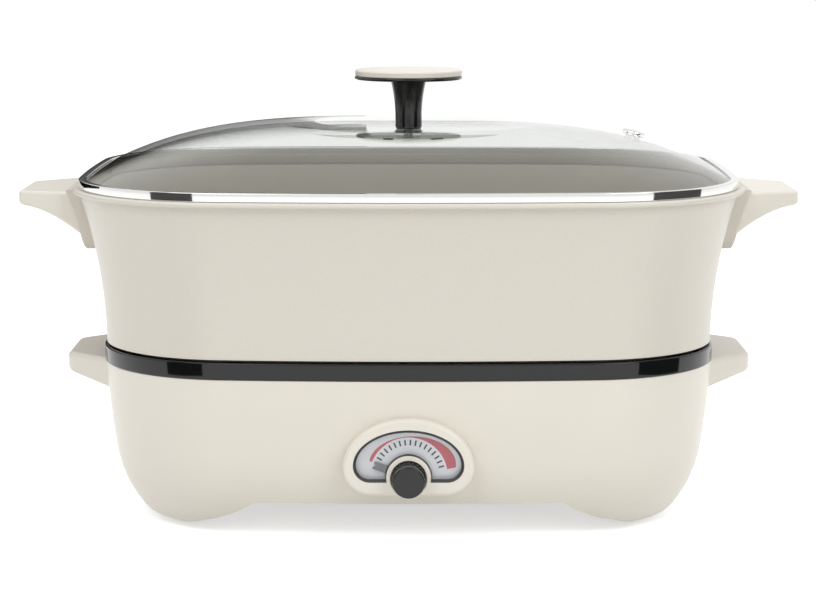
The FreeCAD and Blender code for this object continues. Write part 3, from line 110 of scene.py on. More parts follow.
plastics = {
    # name: colour, second tone of its mottle, roughness, grain size in mm, grain depth in mm
    "shell": ("#EAE5DA", "#E6E1D5", 0.30, 0.7, 0.004),
    "grip": ("#E8E3D8", "#E3DED2", 0.34, 0.6, 0.006),
    "pad": ("#D6D1C6", "#D0CBBF", 0.42, 0.6, 0.006),
    "bezel": ("#EEE9DE", "#EAE5D9", 0.26, 0.5, 0.003),
    "cover": ("#DDD8CC", "#D6D1C4", 0.5, 0.8, 0.02),
    "frame": ("#4A4A4A", "#424242", 0.30, 0.4, 0.004),
    "pointer": ("#77787A", "#6E6F71", 0.35, 0.4, 0.004),
    "knob": ("#141415", "#101011", 0.22, 0.5, 0.004),
    "stem": ("#0C0C0D", "#101011", 0.10, 0.8, 0.002),
    "inlet": ("#18191A", "#141516", 0.42, 0.5, 0.01),
    "phenolic": ("#3A2A22", "#2F211B", 0.4, 0.8, 0.01),
    "steatite": ("#E4E1D8", "#D9D5CA", 0.55, 0.6, 0.01),
    "sleeve": ("#B9B6AE", "#A9A69E", 0.6, 0.5, 0.02),
    "rubber": ("#26272A", "#1E1F21", 0.72, 0.5, 0.03),
}


moulding = {
    "flow": 38.0,              # mm, size of the mottle
    "glossSpread": 0.04,       # of the roughness, up and down
    "grainStrength": 0.6,
}


def mouldedPlastic(name, colour, mottle, roughness, grain, depth):
    # injection-moulded plastic: even colour with a faint flow mottle,
    # and the tool's fine grain in the gloss
    material, tree, shader = newMaterial(name, colour, Roughness=roughness, IOR=1.49)
    place = addNode(tree, "ShaderNodeTexCoord").outputs["Object"]
    flow = addNode(tree, "ShaderNodeTexNoise",
                   links={"Vector": place, "Scale": 1 / (moulding["flow"] * mm), "Detail": 2.0})
    tone = addNode(tree, "ShaderNodeMix", {"data_type": "RGBA"},
                   {0: flow, 6: linear(colour), 7: linear(mottle)})
    tree.links.new(tone.outputs[2], shader.inputs["Base Color"])
    skin = addNode(tree, "ShaderNodeTexNoise",
                   links={"Vector": place, "Scale": 1 / (grain * mm), "Detail": 3.0})
    spread = moulding["glossSpread"]
    gloss = addNode(tree, "ShaderNodeMapRange",
                    links={0: skin, 3: roughness - spread, 4: roughness + spread})
    tree.links.new(gloss.outputs[0], shader.inputs["Roughness"])
    bump = addNode(tree, "ShaderNodeBump",
                   links={"Height": skin, "Distance": depth * mm, "Strength": moulding["grainStrength"]})
    tree.links.new(bump.outputs[0], shader.inputs["Normal"])
    return material


metals = {
    # name: colour, second tone, roughness, streak size in mm
    "polishedSteel": ("#E9E9E7", "#E1E1DF", 0.06, 3.0),
    "zincSteel": ("#C4C5C3", "#B2B4B4", 0.32, 1.5),
    "aluminisedSheet": ("#C9CAC8", "#B5B7B6", 0.3, 6.0),
    "castAluminium": ("#B4B4B1", "#A09F9C", 0.48, 1.2),
    "elementSheath": ("#7C7468", "#5E574E", 0.45, 9.0),
    "brass": ("#D8B36A", "#C39C50", 0.25, 1.5),
    "copper": ("#C98A66", "#B67450", 0.3, 2.0),
}


unevenPolish = (0.8, 1.25)     # shares of a metal's roughness


def bareMetal(name, colour, second, roughness, size):
    # bare metal: two close tones and an uneven polish
    material, tree, shader = newMaterial(name, colour, Metallic=1.0, Roughness=roughness)
    place = addNode(tree, "ShaderNodeTexCoord").outputs["Object"]
    cloud = addNode(tree, "ShaderNodeTexNoise",
                    links={"Vector": place, "Scale": 1 / (size * mm), "Detail": 4.0})
    mix = addNode(tree, "ShaderNodeMix", {"data_type": "RGBA"},
                  {0: cloud, 6: linear(colour), 7: linear(second)})
    tree.links.new(mix.outputs[2], shader.inputs["Base Color"])
    gloss = addNode(tree, "ShaderNodeMapRange",
                    links={0: cloud, 3: roughness * unevenPolish[0], 4: roughness * unevenPolish[1]})
    tree.links.new(gloss.outputs[0], shader.inputs["Roughness"])
    return material


ceramic = {
    "tones": ("#E0DBD0", "#D7D2C6"),
    "roughness": 0.34,
    "speckle": 0.9,            # mm
    "peel": 2.5,
    "peelDepth": 0.02,
    "peelStrength": 0.5,
}


def sprayedCeramic():
    # ceramic coat sprayed on cast aluminium: satin, a fine speckle and a slight orange peel
    first, second = ceramic["tones"]
    material, tree, shader = newMaterial("sprayedCeramic", first, Roughness=ceramic["roughness"], IOR=1.5)
    place = addNode(tree, "ShaderNodeTexCoord").outputs["Object"]
    spray = addNode(tree, "ShaderNodeTexNoise",
                    links={"Vector": place, "Scale": 1 / (ceramic["speckle"] * mm), "Detail": 4.0})
    mix = addNode(tree, "ShaderNodeMix", {"data_type": "RGBA"},
                  {0: spray, 6: linear(first), 7: linear(second)})
    tree.links.new(mix.outputs[2], shader.inputs["Base Color"])
    peel = addNode(tree, "ShaderNodeTexNoise",
                   links={"Vector": place, "Scale": 1 / (ceramic["peel"] * mm), "Detail": 1.0})
    bump = addNode(tree, "ShaderNodeBump", links={
        "Height": peel, "Distance": ceramic["peelDepth"] * mm, "Strength": ceramic["peelStrength"]})
    tree.links.new(bump.outputs[0], shader.inputs["Normal"])
    return material


clears = {
    # name: tint of each face, tint for light that falls through, IOR, roughness
    "temperedGlass": ("#F7F8F7", "#D2D2D0", 1.55, 0.0),    # bent soda-lime sheet, faint grey
    "castAcrylic": ("#FDFDFD", "#FDFDFD", 1.49, 0.02),     # water-clear window
}


def clearSheet(name, tint, shade, ior, roughness):
    # a sheet too thin to bend what lies behind it: each face tints, and the one met first is glossy
    material, tree, shader = newMaterial(name, "#FFFFFF", Roughness=roughness, Metallic=1.0)
    gloss = addNode(tree, "ShaderNodeFresnel", links={"IOR": ior})
    facing = addNode(tree, "ShaderNodeNewGeometry").outputs["Backfacing"]
    outside = addNode(tree, "ShaderNodeMath", {"operation": "SUBTRACT"}, {0: 1.0, 1: facing})
    share = addNode(tree, "ShaderNodeMath", {"operation": "MULTIPLY"}, {0: gloss, 1: outside})
    path = addNode(tree, "ShaderNodeLightPath")
    falls = addNode(tree, "ShaderNodeMath", {"operation": "MAXIMUM"},
                    {0: path.outputs["Is Shadow Ray"], 1: path.outputs["Is Diffuse Ray"]})
    colour = addNode(tree, "ShaderNodeMix", {"data_type": "RGBA"},
                     {0: falls, 6: linear(tint), 7: linear(shade)})
    through = addNode(tree, "ShaderNodeBsdfTransparent", links={"Color": colour.outputs[2]})
    mix = addNode(tree, "ShaderNodeMixShader", links={0: share, 1: through, 2: shader})
    tree.links.new(mix.outputs[0], tree.nodes["Material Output"].inputs["Surface"])
    return material


glossBlack = {
    "colour": "#0C0D0E",
    "roughness": 0.06,
    "wave": 14.0,              # mm
    "waveDepth": 0.02,
    "waveStrength": 0.3,
}


def pianoBlack():
    # high-gloss black ABS: a deep polished colour, with very faint moulding waves
    material, tree, shader = newMaterial("pianoBlack", glossBlack["colour"],
                                         Roughness=glossBlack["roughness"], IOR=1.46)
    place = addNode(tree, "ShaderNodeTexCoord").outputs["Object"]
    wave = addNode(tree, "ShaderNodeTexNoise",
                   links={"Vector": place, "Scale": 1 / (glossBlack["wave"] * mm), "Detail": 1.0})
    bump = addNode(tree, "ShaderNodeBump", links={
        "Height": wave, "Distance": glossBlack["waveDepth"] * mm, "Strength": glossBlack["waveStrength"]})
    tree.links.new(bump.outputs[0], shader.inputs["Normal"])
    return material


brushed = {
    "tones": ("#E0E3E8", "#D4D7DC"),
    "metallic": 0.2,           # the lacquer hides most of the metal
    "roughness": 0.42,
    "streak": 0.3,             # mm, across the streaks
    "draw": (0.02, 1.0, 1.0),  # drawn out along x
}


def lacqueredAluminium():
    # dial sheet: brushed along x under a matt lacquer
    first, second = brushed["tones"]
    material, tree, shader = newMaterial("lacqueredAluminium", first, Metallic=brushed["metallic"],
                                         Roughness=brushed["roughness"])
    place = addNode(tree, "ShaderNodeTexCoord").outputs["Object"]
    drawn = addNode(tree, "ShaderNodeMapping", links={"Vector": place, "Scale": brushed["draw"]})
    streak = addNode(tree, "ShaderNodeTexNoise",
                     links={"Vector": drawn, "Scale": 1 / (brushed["streak"] * mm), "Detail": 2.0})
    mix = addNode(tree, "ShaderNodeMix", {"data_type": "RGBA"},
                  {0: streak, 6: linear(first), 7: linear(second)})
    tree.links.new(mix.outputs[2], shader.inputs["Base Color"])
    return material


ink = {
    "mesh": 0.4,               # mm, of the screen
    "roughness": (0.48, 0.62),
    "black": "#1E1F20",
    "red": "#C8606A",
}


def screenInk(name, colour):
    # screen-printed ink: flat, slightly uneven where the mesh lifted
    material, tree, shader = newMaterial(name, colour)
    place = addNode(tree, "ShaderNodeTexCoord").outputs["Object"]
    lift = addNode(tree, "ShaderNodeTexNoise",
                   links={"Vector": place, "Scale": 1 / (ink["mesh"] * mm), "Detail": 1.0})
    low, high = ink["roughness"]
    gloss = addNode(tree, "ShaderNodeMapRange", links={0: lift, 3: low, 4: high})
    tree.links.new(gloss.outputs[0], shader.inputs["Roughness"])
    return material


finish = {name: mouldedPlastic(name + "Plastic", *values) for name, values in plastics.items()}
finish.update({name: bareMetal(name, *values) for name, values in metals.items()})
finish.update({name: clearSheet(name, *values) for name, values in clears.items()})
finish.update(sprayedCeramic=sprayedCeramic(), pianoBlack=pianoBlack(),
              lacqueredAluminium=lacqueredAluminium(), blackInk=screenInk("blackInk", ink["black"]),
              redInk=screenInk("redInk", ink["red"]))
print("materials made:", len(finish))

nodeFinish = {
    "shell": "base_shell",
    "grip": "base_handle_left base_handle_right pot_handle_left pot_handle_right lid_knob_cap",
    "pad": "pot_handle_pad_left pot_handle_pad_right",
    "bezel": "dial_bezel",
    "cover": "bottom_cover",
    "frame": "dial_frame",
    "pointer": "dial_pointer",
    "knob": "control_knob",
    "stem": "lid_knob_plate lid_knob_stem",
    "inlet": "inlet_socket",
    "phenolic": "thermostat_body thermal_fuse",
    "steatite": "terminal_block",
    "sleeve": "internal_leads",
    "rubber": "foot_front_left foot_front_right foot_rear_left foot_rear_right lid_knob_gasket",
    "polishedSteel": "lid_rim lid_knob_washer steam_vent_eyelet",
    "zincSteel": "base_handle_screws bottom_cover_screws pot_handle_screws inlet_screws plate_posts"
                 " knob_spindle sensor_spring lid_knob_screw",
    "aluminisedSheet": "reflector_pan bulb_clip fuse_clip element_clamps thermostat_bracket"
                       " sensor_housing",
    "castAluminium": "heating_plate sensor_cap",
    "elementSheath": "heating_element",
    "brass": "inlet_pins thermostat_nut",
    "copper": "thermostat_bulb",
    "sprayedCeramic": "pot_body",
    "temperedGlass": "lid_glass",
    "castAcrylic": "dial_lens",
    "pianoBlack": "base_trim_ring",
    "lacqueredAluminium": "dial_plate",
}
for key, names in nodeFinish.items():
    for name in names.split():
        for slot in nodes[name].material_slots:
            slot.material = finish[key]


# the plan outline: every wall, ring and the glass follow this bowed rectangle

plan = {
    "halfLength": 163.4,       # mm
    "halfWidth": 126.2,
    "cornerRadius": 73.0,
    "frontBow": 1100.0,
    "sideBow": 1500.0,
    "chord": 2.2,              # between neighbouring points
}


def cornerCentre():
    # the corner arc touches both bowed arcs from inside
    fromFront = plan["frontBow"] - plan["cornerRadius"]
    fromSide = plan["sideBow"] - plan["cornerRadius"]
    front = Vector((0, plan["halfWidth"] - plan["frontBow"]))
    side = Vector((plan["halfLength"] - plan["sideBow"], 0))
    apart = (side - front).length
    along = (fromFront ** 2 - fromSide ** 2 + apart ** 2) / (2 * apart)
    across = sqrt(fromFront ** 2 - along ** 2)
    toSide = (side - front) / apart
    foot = front + toSide * along
    return max((foot + Vector((-toSide.y, toSide.x)) * turn for turn in (across, -across)), key=sum)


corner = cornerCentre()
frontTurn = atan2(corner.x, corner.y - plan["halfWidth"] + plan["frontBow"])
sideTurn = atan2(corner.y, corner.x - plan["halfLength"] + plan["sideBow"])


def planLoop():
    # one quarter along its three arcs, then mirrored round
    arcs = [((plan["halfLength"] - plan["sideBow"], 0), plan["sideBow"], 0, sideTurn),
            (corner, plan["cornerRadius"], sideTurn, pi / 2 - frontTurn),
            ((0, plan["halfWidth"] - plan["frontBow"]), plan["frontBow"], pi / 2 - frontTurn, pi / 2)]
    quarter = []
    for (x, y), radius, start, end in arcs:
        steps = int(radius * (end - start) / plan["chord"]) + 1
        turns = [start + (end - start) * step / steps for step in range(steps)]
        quarter += [(x + radius * cos(turn), y + radius * sin(turn)) for turn in turns]
    quarter.append((0.0, plan["halfWidth"]))
    half = quarter + [(-x, y) for x, y in quarter[-2::-1]]
    return half + [(-x, -y) for x, y in half[1:-1]]


def lineMesh(name, points, closed=False):
    # points in mm, joined in a line
    mesh = bpy.data.meshes.new(name)
    joins = [(i, i + 1) for i in range(len(points) - 1)]
    if closed:
        joins.append((len(points) - 1, 0))
    mesh.from_pydata([(x * mm, y * mm, 0.0) for x, y in points], joins, [])
    return mesh


# growing pieces from geometry trees

def newTree(name, **inputs):
    # an empty tree with named inputs; their kinds follow their first values
    tree = bpy.data.node_groups.new(name, "GeometryNodeTree")
    tree.interface.new_socket("Geometry", in_out="OUTPUT", socket_type="NodeSocketGeometry")
    tree.interface.new_socket("Geometry", in_out="INPUT", socket_type="NodeSocketGeometry")
    kinds = {float: "Float", int: "Int", tuple: "Vector", str: "Object"}
    for label, value in inputs.items():
        kind = kinds[type(value)]
        socket = tree.interface.new_socket(label, in_out="INPUT", socket_type="NodeSocket" + kind)
        if kind != "Object":
            socket.default_value = value
    tree.interface.new_socket("Finish", in_out="INPUT", socket_type="NodeSocketMaterial")
    return tree, addNode(tree, "NodeGroupInput").outputs


def closeTree(tree, given, geometry):
    # ends in plain geometry that carries its finish
    real = addNode(tree, "GeometryNodeRealizeInstances", links={0: geometry})
    finished = addNode(tree, "GeometryNodeSetMaterial", links={0: real, "Material": given["Finish"]})
    addNode(tree, "NodeGroupOutput", links={0: finished})
    return tree


def grow(name, mesh, tree, values):
    # runs a tree on a mesh and keeps the result as a plain mesh
    source = bpy.data.objects.new(name + "Source", mesh)
    bpy.context.collection.objects.link(source)
    modifier = source.modifiers.new("grow", "NODES")
    modifier.node_group = tree
    for socket in tree.interface.items_tree:
        if socket.in_out == "INPUT" and socket.name in values:
            modifier[socket.identifier] = values[socket.name]
    graph = bpy.context.evaluated_depsgraph_get()
    grown = bpy.data.meshes.new_from_object(source.evaluated_get(graph))
    grown.materials.clear()            # cuts leave an empty slot beside the finish
    grown.materials.append(values["Finish"])
    source.modifiers.remove(modifier)
    bpy.data.objects.remove(source)
    piece = bpy.data.objects.new(name, grown)
    bpy.context.collection.objects.link(piece)
    return piece


sharpBend = 0.6                # radians between two faces


def crispEdges(tree, geometry):
    # keeps an edge sharp where its faces bend more than that
    bend = addNode(tree, "GeometryNodeInputMeshEdgeAngle")
    sharp = addNode(tree, "ShaderNodeMath", {"operation": "GREATER_THAN"}, {0: bend, 1: sharpBend})
    return addNode(tree, "GeometryNodeSetShadeSmooth", {"domain": "EDGE"},
                   {0: geometry, "Selection": sharp, "Shade Smooth": False})


def quarterTurns(steps=8):
    # angles over a right angle, both ends included
    return [pi / 2 * step / steps for step in range(steps + 1)]


# rings: a soft rectangle carried round the plan

def bandTree():
    tree, given = newTree("planBand", Width=0.01, Height=0.01, Round=0.001, RoundSteps=7,
                          Place=(0.0, 0.0, 0.0))
    section = addNode(tree, "GeometryNodeCurvePrimitiveQuadrilateral",
                      links={"Width": given["Width"], "Height": given["Height"]})
    soft = addNode(tree, "GeometryNodeFilletCurve", {"mode": "POLY"},
                   {"Curve": section, "Count": given["RoundSteps"], "Radius": given["Round"],
                    "Limit Radius": True})
    placed = addNode(tree, "GeometryNodeTransform",
                     links={"Geometry": soft, "Translation": given["Place"]})
    line = addNode(tree, "GeometryNodeMeshToCurve", links={"Mesh": given["Geometry"]})
    upright = addNode(tree, "GeometryNodeSetCurveNormal", {"mode": "Z_UP"}, {"Curve": line})
    swept = addNode(tree, "GeometryNodeCurveToMesh", links={"Curve": upright, "Profile Curve": placed})
    smooth = addNode(tree, "GeometryNodeSetShadeSmooth", links={0: swept})
    return closeTree(tree, given, smooth)


# bent glass over the plan

def domeTree():
    # a sheet whose rows run in over the top, round the middle hole and back out underneath
    tree, given = newTree("bentGlass", Columns=361, Rows=161, Edge=0.0, Reach=1.0, Hole=0.03, Base=0.18,
                          Crown=0.2, Fullness=3.0, Seat=0.2, Crest=0.4, Sink=0.004, Thickness=0.003,
                          Weld=1e-5, VentSteps=48, VentRadius=0.004, VentDepth=0.02,
                          VentPlace=(0.0, 0.0, 0.0), VentTilt=(0.0, 0.0, 0.0))
    half, outermost = 0.5, 0.4999      # of the sheet; only its two edge rows lie past the second
    sheet = addNode(tree, "GeometryNodeMeshGrid",
                    links={"Size X": 1.0, "Size Y": 1.0, "Vertices X": given["Columns"],
                           "Vertices Y": given["Rows"]})
    spot = addNode(tree, "GeometryNodeInputPosition")
    part = addNode(tree, "ShaderNodeSeparateXYZ", links={0: spot})
    row = addNode(tree, "ShaderNodeMath", {"operation": "ABSOLUTE"}, {0: part.outputs[1]})
    share = addNode(tree, "ShaderNodeMapRange", {"clamp": False},
                    {0: row, 1: 0.0, 2: half, 3: given["Hole"], 4: given["Reach"]})

    line = addNode(tree, "GeometryNodeMeshToCurve", links={"Mesh": given["Geometry"]})
    upright = addNode(tree, "GeometryNodeSetCurveNormal", {"mode": "Z_UP"}, {"Curve": line})
    turn = addNode(tree, "ShaderNodeMath", {"operation": "ADD"}, {0: part.outputs[0], 1: half})
    onPlan = addNode(tree, "GeometryNodeSampleCurve", {"mode": "FACTOR", "use_all_curves": True},
                     {"Curves": upright, "Factor": turn})
    outward = addNode(tree, "ShaderNodeVectorMath", {"operation": "SCALE"},
                      {0: onPlan.outputs["Normal"], 3: given["Edge"]})
    edge = addNode(tree, "ShaderNodeVectorMath", {"operation": "ADD"},
                   {0: onPlan.outputs["Position"], 1: outward})
    drawnIn = addNode(tree, "ShaderNodeVectorMath", {"operation": "SCALE"}, {0: edge, 3: share})

    flat = addNode(tree, "ShaderNodeMath", {"operation": "MAXIMUM"}, {0: share, 1: given["Seat"]})
    curve = addNode(tree, "ShaderNodeMath", {"operation": "POWER"}, {0: flat, 1: given["Fullness"]})
    arch = addNode(tree, "ShaderNodeMapRange", {"clamp": False},
                   {0: curve, 1: 0.0, 2: 1.0, 3: given["Crown"], 4: given["Base"]})
    bowl = addNode(tree, "ShaderNodeMapRange", {"interpolation_type": "SMOOTHSTEP"},
                   {0: share, 1: given["Seat"], 2: given["Crest"], 3: given["Sink"], 4: 0.0})
    side = addNode(tree, "ShaderNodeMath", {"operation": "GREATER_THAN"}, {0: 0.0, 1: part.outputs[1]})
    last = addNode(tree, "ShaderNodeMath", {"operation": "GREATER_THAN"}, {0: row, 1: outermost})
    drop = addNode(tree, "ShaderNodeMix", links={0: last, 2: side, 3: half})    # both sides meet there
    sunk = addNode(tree, "ShaderNodeMath", {"operation": "MULTIPLY_ADD"},
                   {0: drop, 1: given["Thickness"], 2: bowl})
    level = addNode(tree, "ShaderNodeMath", {"operation": "SUBTRACT"}, {0: arch, 1: sunk})
    lift = addNode(tree, "ShaderNodeCombineXYZ", links={2: level})
    place = addNode(tree, "ShaderNodeVectorMath", {"operation": "ADD"}, {0: drawnIn, 1: lift})
    bent = addNode(tree, "GeometryNodeSetPosition", links={0: sheet, "Position": place})
    outside = addNode(tree, "GeometryNodeFlipFaces", links={0: bent})
    joined = addNode(tree, "GeometryNodeMergeByDistance", links={0: outside, "Distance": given["Weld"]})

    drill = addNode(tree, "GeometryNodeMeshCylinder",
                    links={"Vertices": given["VentSteps"], "Radius": given["VentRadius"],
                           "Depth": given["VentDepth"]})
    aimed = addNode(tree, "GeometryNodeTransform",
                    links={0: drill, "Translation": given["VentPlace"], "Rotation": given["VentTilt"]})
    pierced = addNode(tree, "GeometryNodeMeshBoolean", {"operation": "DIFFERENCE", "solver": "EXACT"},
                      {"Mesh 1": joined, "Mesh 2": aimed})
    smooth = addNode(tree, "GeometryNodeSetShadeSmooth", links={0: pierced})
    return closeTree(tree, given, crispEdges(tree, smooth))


# turned pieces: a profile of (radius, height) carried round an axis, with ribs between two heights

def turnedTree():
    tree, given = newTree("turned", Steps=192, Weld=2e-6, Ribs=0.0, RibDepth=0.0, RibLow=0.0,
                          RibHigh=0.0, Place=(0.0, 0.0, 0.0), Tilt=(0.0, 0.0, 0.0))
    line = addNode(tree, "GeometryNodeMeshToCurve", links={"Mesh": given["Geometry"]})
    section = addNode(tree, "GeometryNodeTransform",
                      links={0: line, "Translation": (-1.0, 0.0, 0.0), "Scale": (1.0, -1.0, 1.0)})
    circle = addNode(tree, "GeometryNodeCurvePrimitiveCircle",
                     links={"Resolution": given["Steps"], "Radius": 1.0})
    upright = addNode(tree, "GeometryNodeSetCurveNormal", {"mode": "Z_UP"}, {"Curve": circle})
    spun = addNode(tree, "GeometryNodeCurveToMesh", links={"Curve": upright, "Profile Curve": section})
    closed = addNode(tree, "GeometryNodeMergeByDistance", links={0: spun, "Distance": given["Weld"]})

    spot = addNode(tree, "GeometryNodeInputPosition")
    x, y, z = addNode(tree, "ShaderNodeSeparateXYZ", links={0: spot}).outputs
    turn = addNode(tree, "ShaderNodeMath", {"operation": "ARCTAN2"}, {0: y, 1: x})
    phase = addNode(tree, "ShaderNodeMath", {"operation": "MULTIPLY"}, {0: turn, 1: given["Ribs"]})
    wave = addNode(tree, "ShaderNodeMath", {"operation": "COSINE"}, {0: phase})
    press = addNode(tree, "ShaderNodeMapRange",
                    links={0: wave, 1: 1.0, 2: -1.0, 3: 0.0, 4: given["RibDepth"]})
    above = addNode(tree, "ShaderNodeMath", {"operation": "GREATER_THAN"}, {0: z, 1: given["RibLow"]})
    below = addNode(tree, "ShaderNodeMath", {"operation": "LESS_THAN"}, {0: z, 1: given["RibHigh"]})
    between = addNode(tree, "ShaderNodeMath", {"operation": "MULTIPLY"}, {0: above, 1: below})
    depth = addNode(tree, "ShaderNodeMath", {"operation": "MULTIPLY"}, {0: press, 1: between})
    radial = addNode(tree, "ShaderNodeCombineXYZ", links={0: x, 1: y})
    outward = addNode(tree, "ShaderNodeVectorMath", {"operation": "NORMALIZE"}, {0: radial})
    pressed = addNode(tree, "ShaderNodeVectorMath", {"operation": "SCALE"}, {0: outward, 3: depth})
    moved = addNode(tree, "ShaderNodeVectorMath", {"operation": "SUBTRACT"}, {0: spot, 1: pressed})
    ribbed = addNode(tree, "GeometryNodeSetPosition", links={0: closed, "Position": moved})
    placed = addNode(tree, "GeometryNodeTransform",
                     links={0: ribbed, "Translation": given["Place"], "Rotation": given["Tilt"]})
    smooth = addNode(tree, "GeometryNodeSetShadeSmooth", links={0: placed})
    return closeTree(tree, given, crispEdges(tree, smooth))


# printed ticks on an arc

def tickTree():
    tree, given = newTree("dialTicks", Count=18, Radius=0.0174, Start=0.0, Sweep=1.0,
                          Stroke=(0.0005, 0.0025, 0.00005), Place=(0.0, 0.0, 0.0), Tilt=(0.0, 0.0, 0.0))
    arc = addNode(tree, "GeometryNodeCurveArc",
                  links={"Resolution": given["Count"], "Radius": given["Radius"],
                         "Start Angle": given["Start"], "Sweep Angle": given["Sweep"]})
    points = addNode(tree, "GeometryNodeCurveToPoints", {"mode": "EVALUATED"}, {"Curve": arc})
    spot = addNode(tree, "GeometryNodeInputPosition")
    radial = addNode(tree, "FunctionNodeAlignRotationToVector", {"axis": "Y", "pivot_axis": "Z"},
                     {"Vector": spot})
    stroke = addNode(tree, "GeometryNodeMeshCube", links={"Size": given["Stroke"]})
    printed = addNode(tree, "GeometryNodeInstanceOnPoints",
                      links={"Points": points, "Instance": stroke, "Rotation": radial})
    placed = addNode(tree, "GeometryNodeTransform",
                     links={0: printed, "Translation": given["Place"], "Rotation": given["Tilt"]})
    return closeTree(tree, given, placed)


# round wire wound at one radius, its ends closed

def coilTree():
    tree, given = newTree("woundCoil", Turns=4.0, TurnSteps=48, Radius=0.006, Height=0.02, Wire=0.0005,
                          WireSteps=16, Place=(0.0, 0.0, 0.0))
    line = addNode(tree, "GeometryNodeCurveSpiral",
                   links={"Resolution": given["TurnSteps"], "Rotations": given["Turns"],
                          "Start Radius": given["Radius"], "End Radius": given["Radius"],
                          "Height": given["Height"]})
    section = addNode(tree, "GeometryNodeCurvePrimitiveCircle",
                      links={"Resolution": given["WireSteps"], "Radius": given["Wire"]})
    wire = addNode(tree, "GeometryNodeCurveToMesh",
                   links={"Curve": line, "Profile Curve": section, "Fill Caps": True})
    placed = addNode(tree, "GeometryNodeTransform", links={0: wire, "Translation": given["Place"]})
    return closeTree(tree, given, placed)


# cross-head screws: one on each point, turned to its "aim"

def screwTree():
    tree, given = newTree("crossScrews", Blank="screwBlank", Slot=(0.005, 0.001, 0.003),
                          CrossSlot=(0.001, 0.005, 0.003), SlotPlace=(0.0, 0.0, 0.0))
    blank = addNode(tree, "GeometryNodeObjectInfo", links={"Object": given["Blank"]})
    slots = addNode(tree, "GeometryNodeJoinGeometry")
    for size in ("Slot", "CrossSlot"):
        slot = addNode(tree, "GeometryNodeMeshCube", links={"Size": given[size]})
        moved = addNode(tree, "GeometryNodeTransform", links={0: slot, "Translation": given["SlotPlace"]})
        tree.links.new(moved.outputs[0], slots.inputs[0])
    cut = addNode(tree, "GeometryNodeMeshBoolean", {"operation": "DIFFERENCE", "solver": "EXACT"},
                  {"Mesh 1": blank.outputs["Geometry"], "Mesh 2": slots, "Self Intersection": True})
    aim = addNode(tree, "GeometryNodeInputNamedAttribute", {"data_type": "FLOAT_VECTOR"}, {"Name": "aim"})
    turned = addNode(tree, "FunctionNodeAlignRotationToVector", {"axis": "Z"}, {"Vector": aim})
    driven = addNode(tree, "GeometryNodeInstanceOnPoints",
                     links={"Points": given["Geometry"], "Instance": crispEdges(tree, cut),
                            "Rotation": turned})
    return closeTree(tree, given, driven)


# pieces on the frame

def settle(piece, body, slot=None, node=None):
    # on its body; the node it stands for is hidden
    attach(piece, body)
    if node:
        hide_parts(node)


planLine = lineMesh("planLine", planLoop(), closed=True)

bands = {
    # name: finish, offset inside and outside, low, high, edge radius, all in mm,
    # and its body, slot and the node it stands for
    "trimRing": ("pianoBlack", -8.0, 0.6, 85.0, 94.1, 0.9, ("base", "trim_ring", "base_trim_ring")),
    "rimBand": ("polishedSteel", 8.8, 12.8, 177.55, 182.2, 0.4, ("lid", "lid_rim", "lid_rim")),
    "rimGuide": ("polishedSteel", 9.0, 9.8, 172.5, 178.6, 0.2, ("lid", "lid_rim")),
}


def placeBands():
    tree = bandTree()
    for name, (look, inner, outer, low, high, edge, role) in bands.items():
        # the sweep turns the section over, so its height counts downwards
        middle = ((inner + outer) / 2 * mm, -(low + high) / 2 * mm, 0.0)
        band = grow(name, planLine, tree,
                    {"Width": (outer - inner) * mm, "Height": (high - low) * mm, "Round": edge * mm,
                     "Place": middle, "Finish": finish[look]})
        settle(band, *role)


glass = {
    "edgeOffset": 8.6,         # mm, from the plan to where the dome starts
    "reach": 1.015,            # of that, hidden in the rim
    "hole": 0.03,
    "edgeHeight": 181.35,
    "rise": 27.2,
    "fullness": 3.3,           # exponent of the dome's section
    "seat": 0.22,              # share that is flat under the knob
    "crest": 0.40,             # share where it starts to sink
    "sink": 4.4,
    "thickness": 3.0,
    "ventShare": 0.75,
    "ventRadius": 4.3,
}


def ventPlace():
    # the vent lies on the line to where a corner meets the side
    out = Vector((cos(sideTurn), sin(sideTurn)))
    edge = corner + out * (plan["cornerRadius"] + glass["edgeOffset"])
    share, full = glass["ventShare"], glass["fullness"]
    fall = glass["rise"] * full * share ** (full - 1) / out.dot(edge)
    height = glass["edgeHeight"] + glass["rise"] * (1 - share ** full)
    return Vector((*(edge * share), height)) * mm, Vector((*(out * fall), 1.0))


def placeGlass():
    vent, axis = ventPlace()
    dome = grow("bentGlassLid", planLine, domeTree(), {
        "Edge": glass["edgeOffset"] * mm, "Reach": glass["reach"], "Hole": glass["hole"],
        "Base": glass["edgeHeight"] * mm, "Crown": (glass["edgeHeight"] + glass["rise"]) * mm,
        "Fullness": glass["fullness"], "Seat": glass["seat"], "Crest": glass["crest"],
        "Sink": glass["sink"] * mm, "Thickness": glass["thickness"] * mm,
        "VentRadius": glass["ventRadius"] * mm, "VentPlace": tuple(vent),
        "VentTilt": tuple(axis.to_track_quat("Z", "Y").to_euler()), "Finish": finish["temperedGlass"]})
    settle(dome, "lid", "lid_glass", "lid_glass")


knob = {
    "axisHeight": 36.0,        # mm
    "back": -129.4,            # of the knob, along y
    "length": 12.6,
    "skirt": 9.0,              # radius of the ribbed part
    "skirtEnd": 6.4,
    "skirtFront": 0.3,         # its front edge's chamfer
    "skirtBack": 0.2,
    "face": 8.2,
    "faceRound": 1.0,
    "root": ((0.0, 0.5), (0.4, 0.1)),    # from the face's side out to the skirt: out, up
    "ribs": 24,
    "ribDepth": 0.55,
    "ribStart": -1.0,          # below the skirt's back, so that the ribs run out through it
    "steps": 288,
}


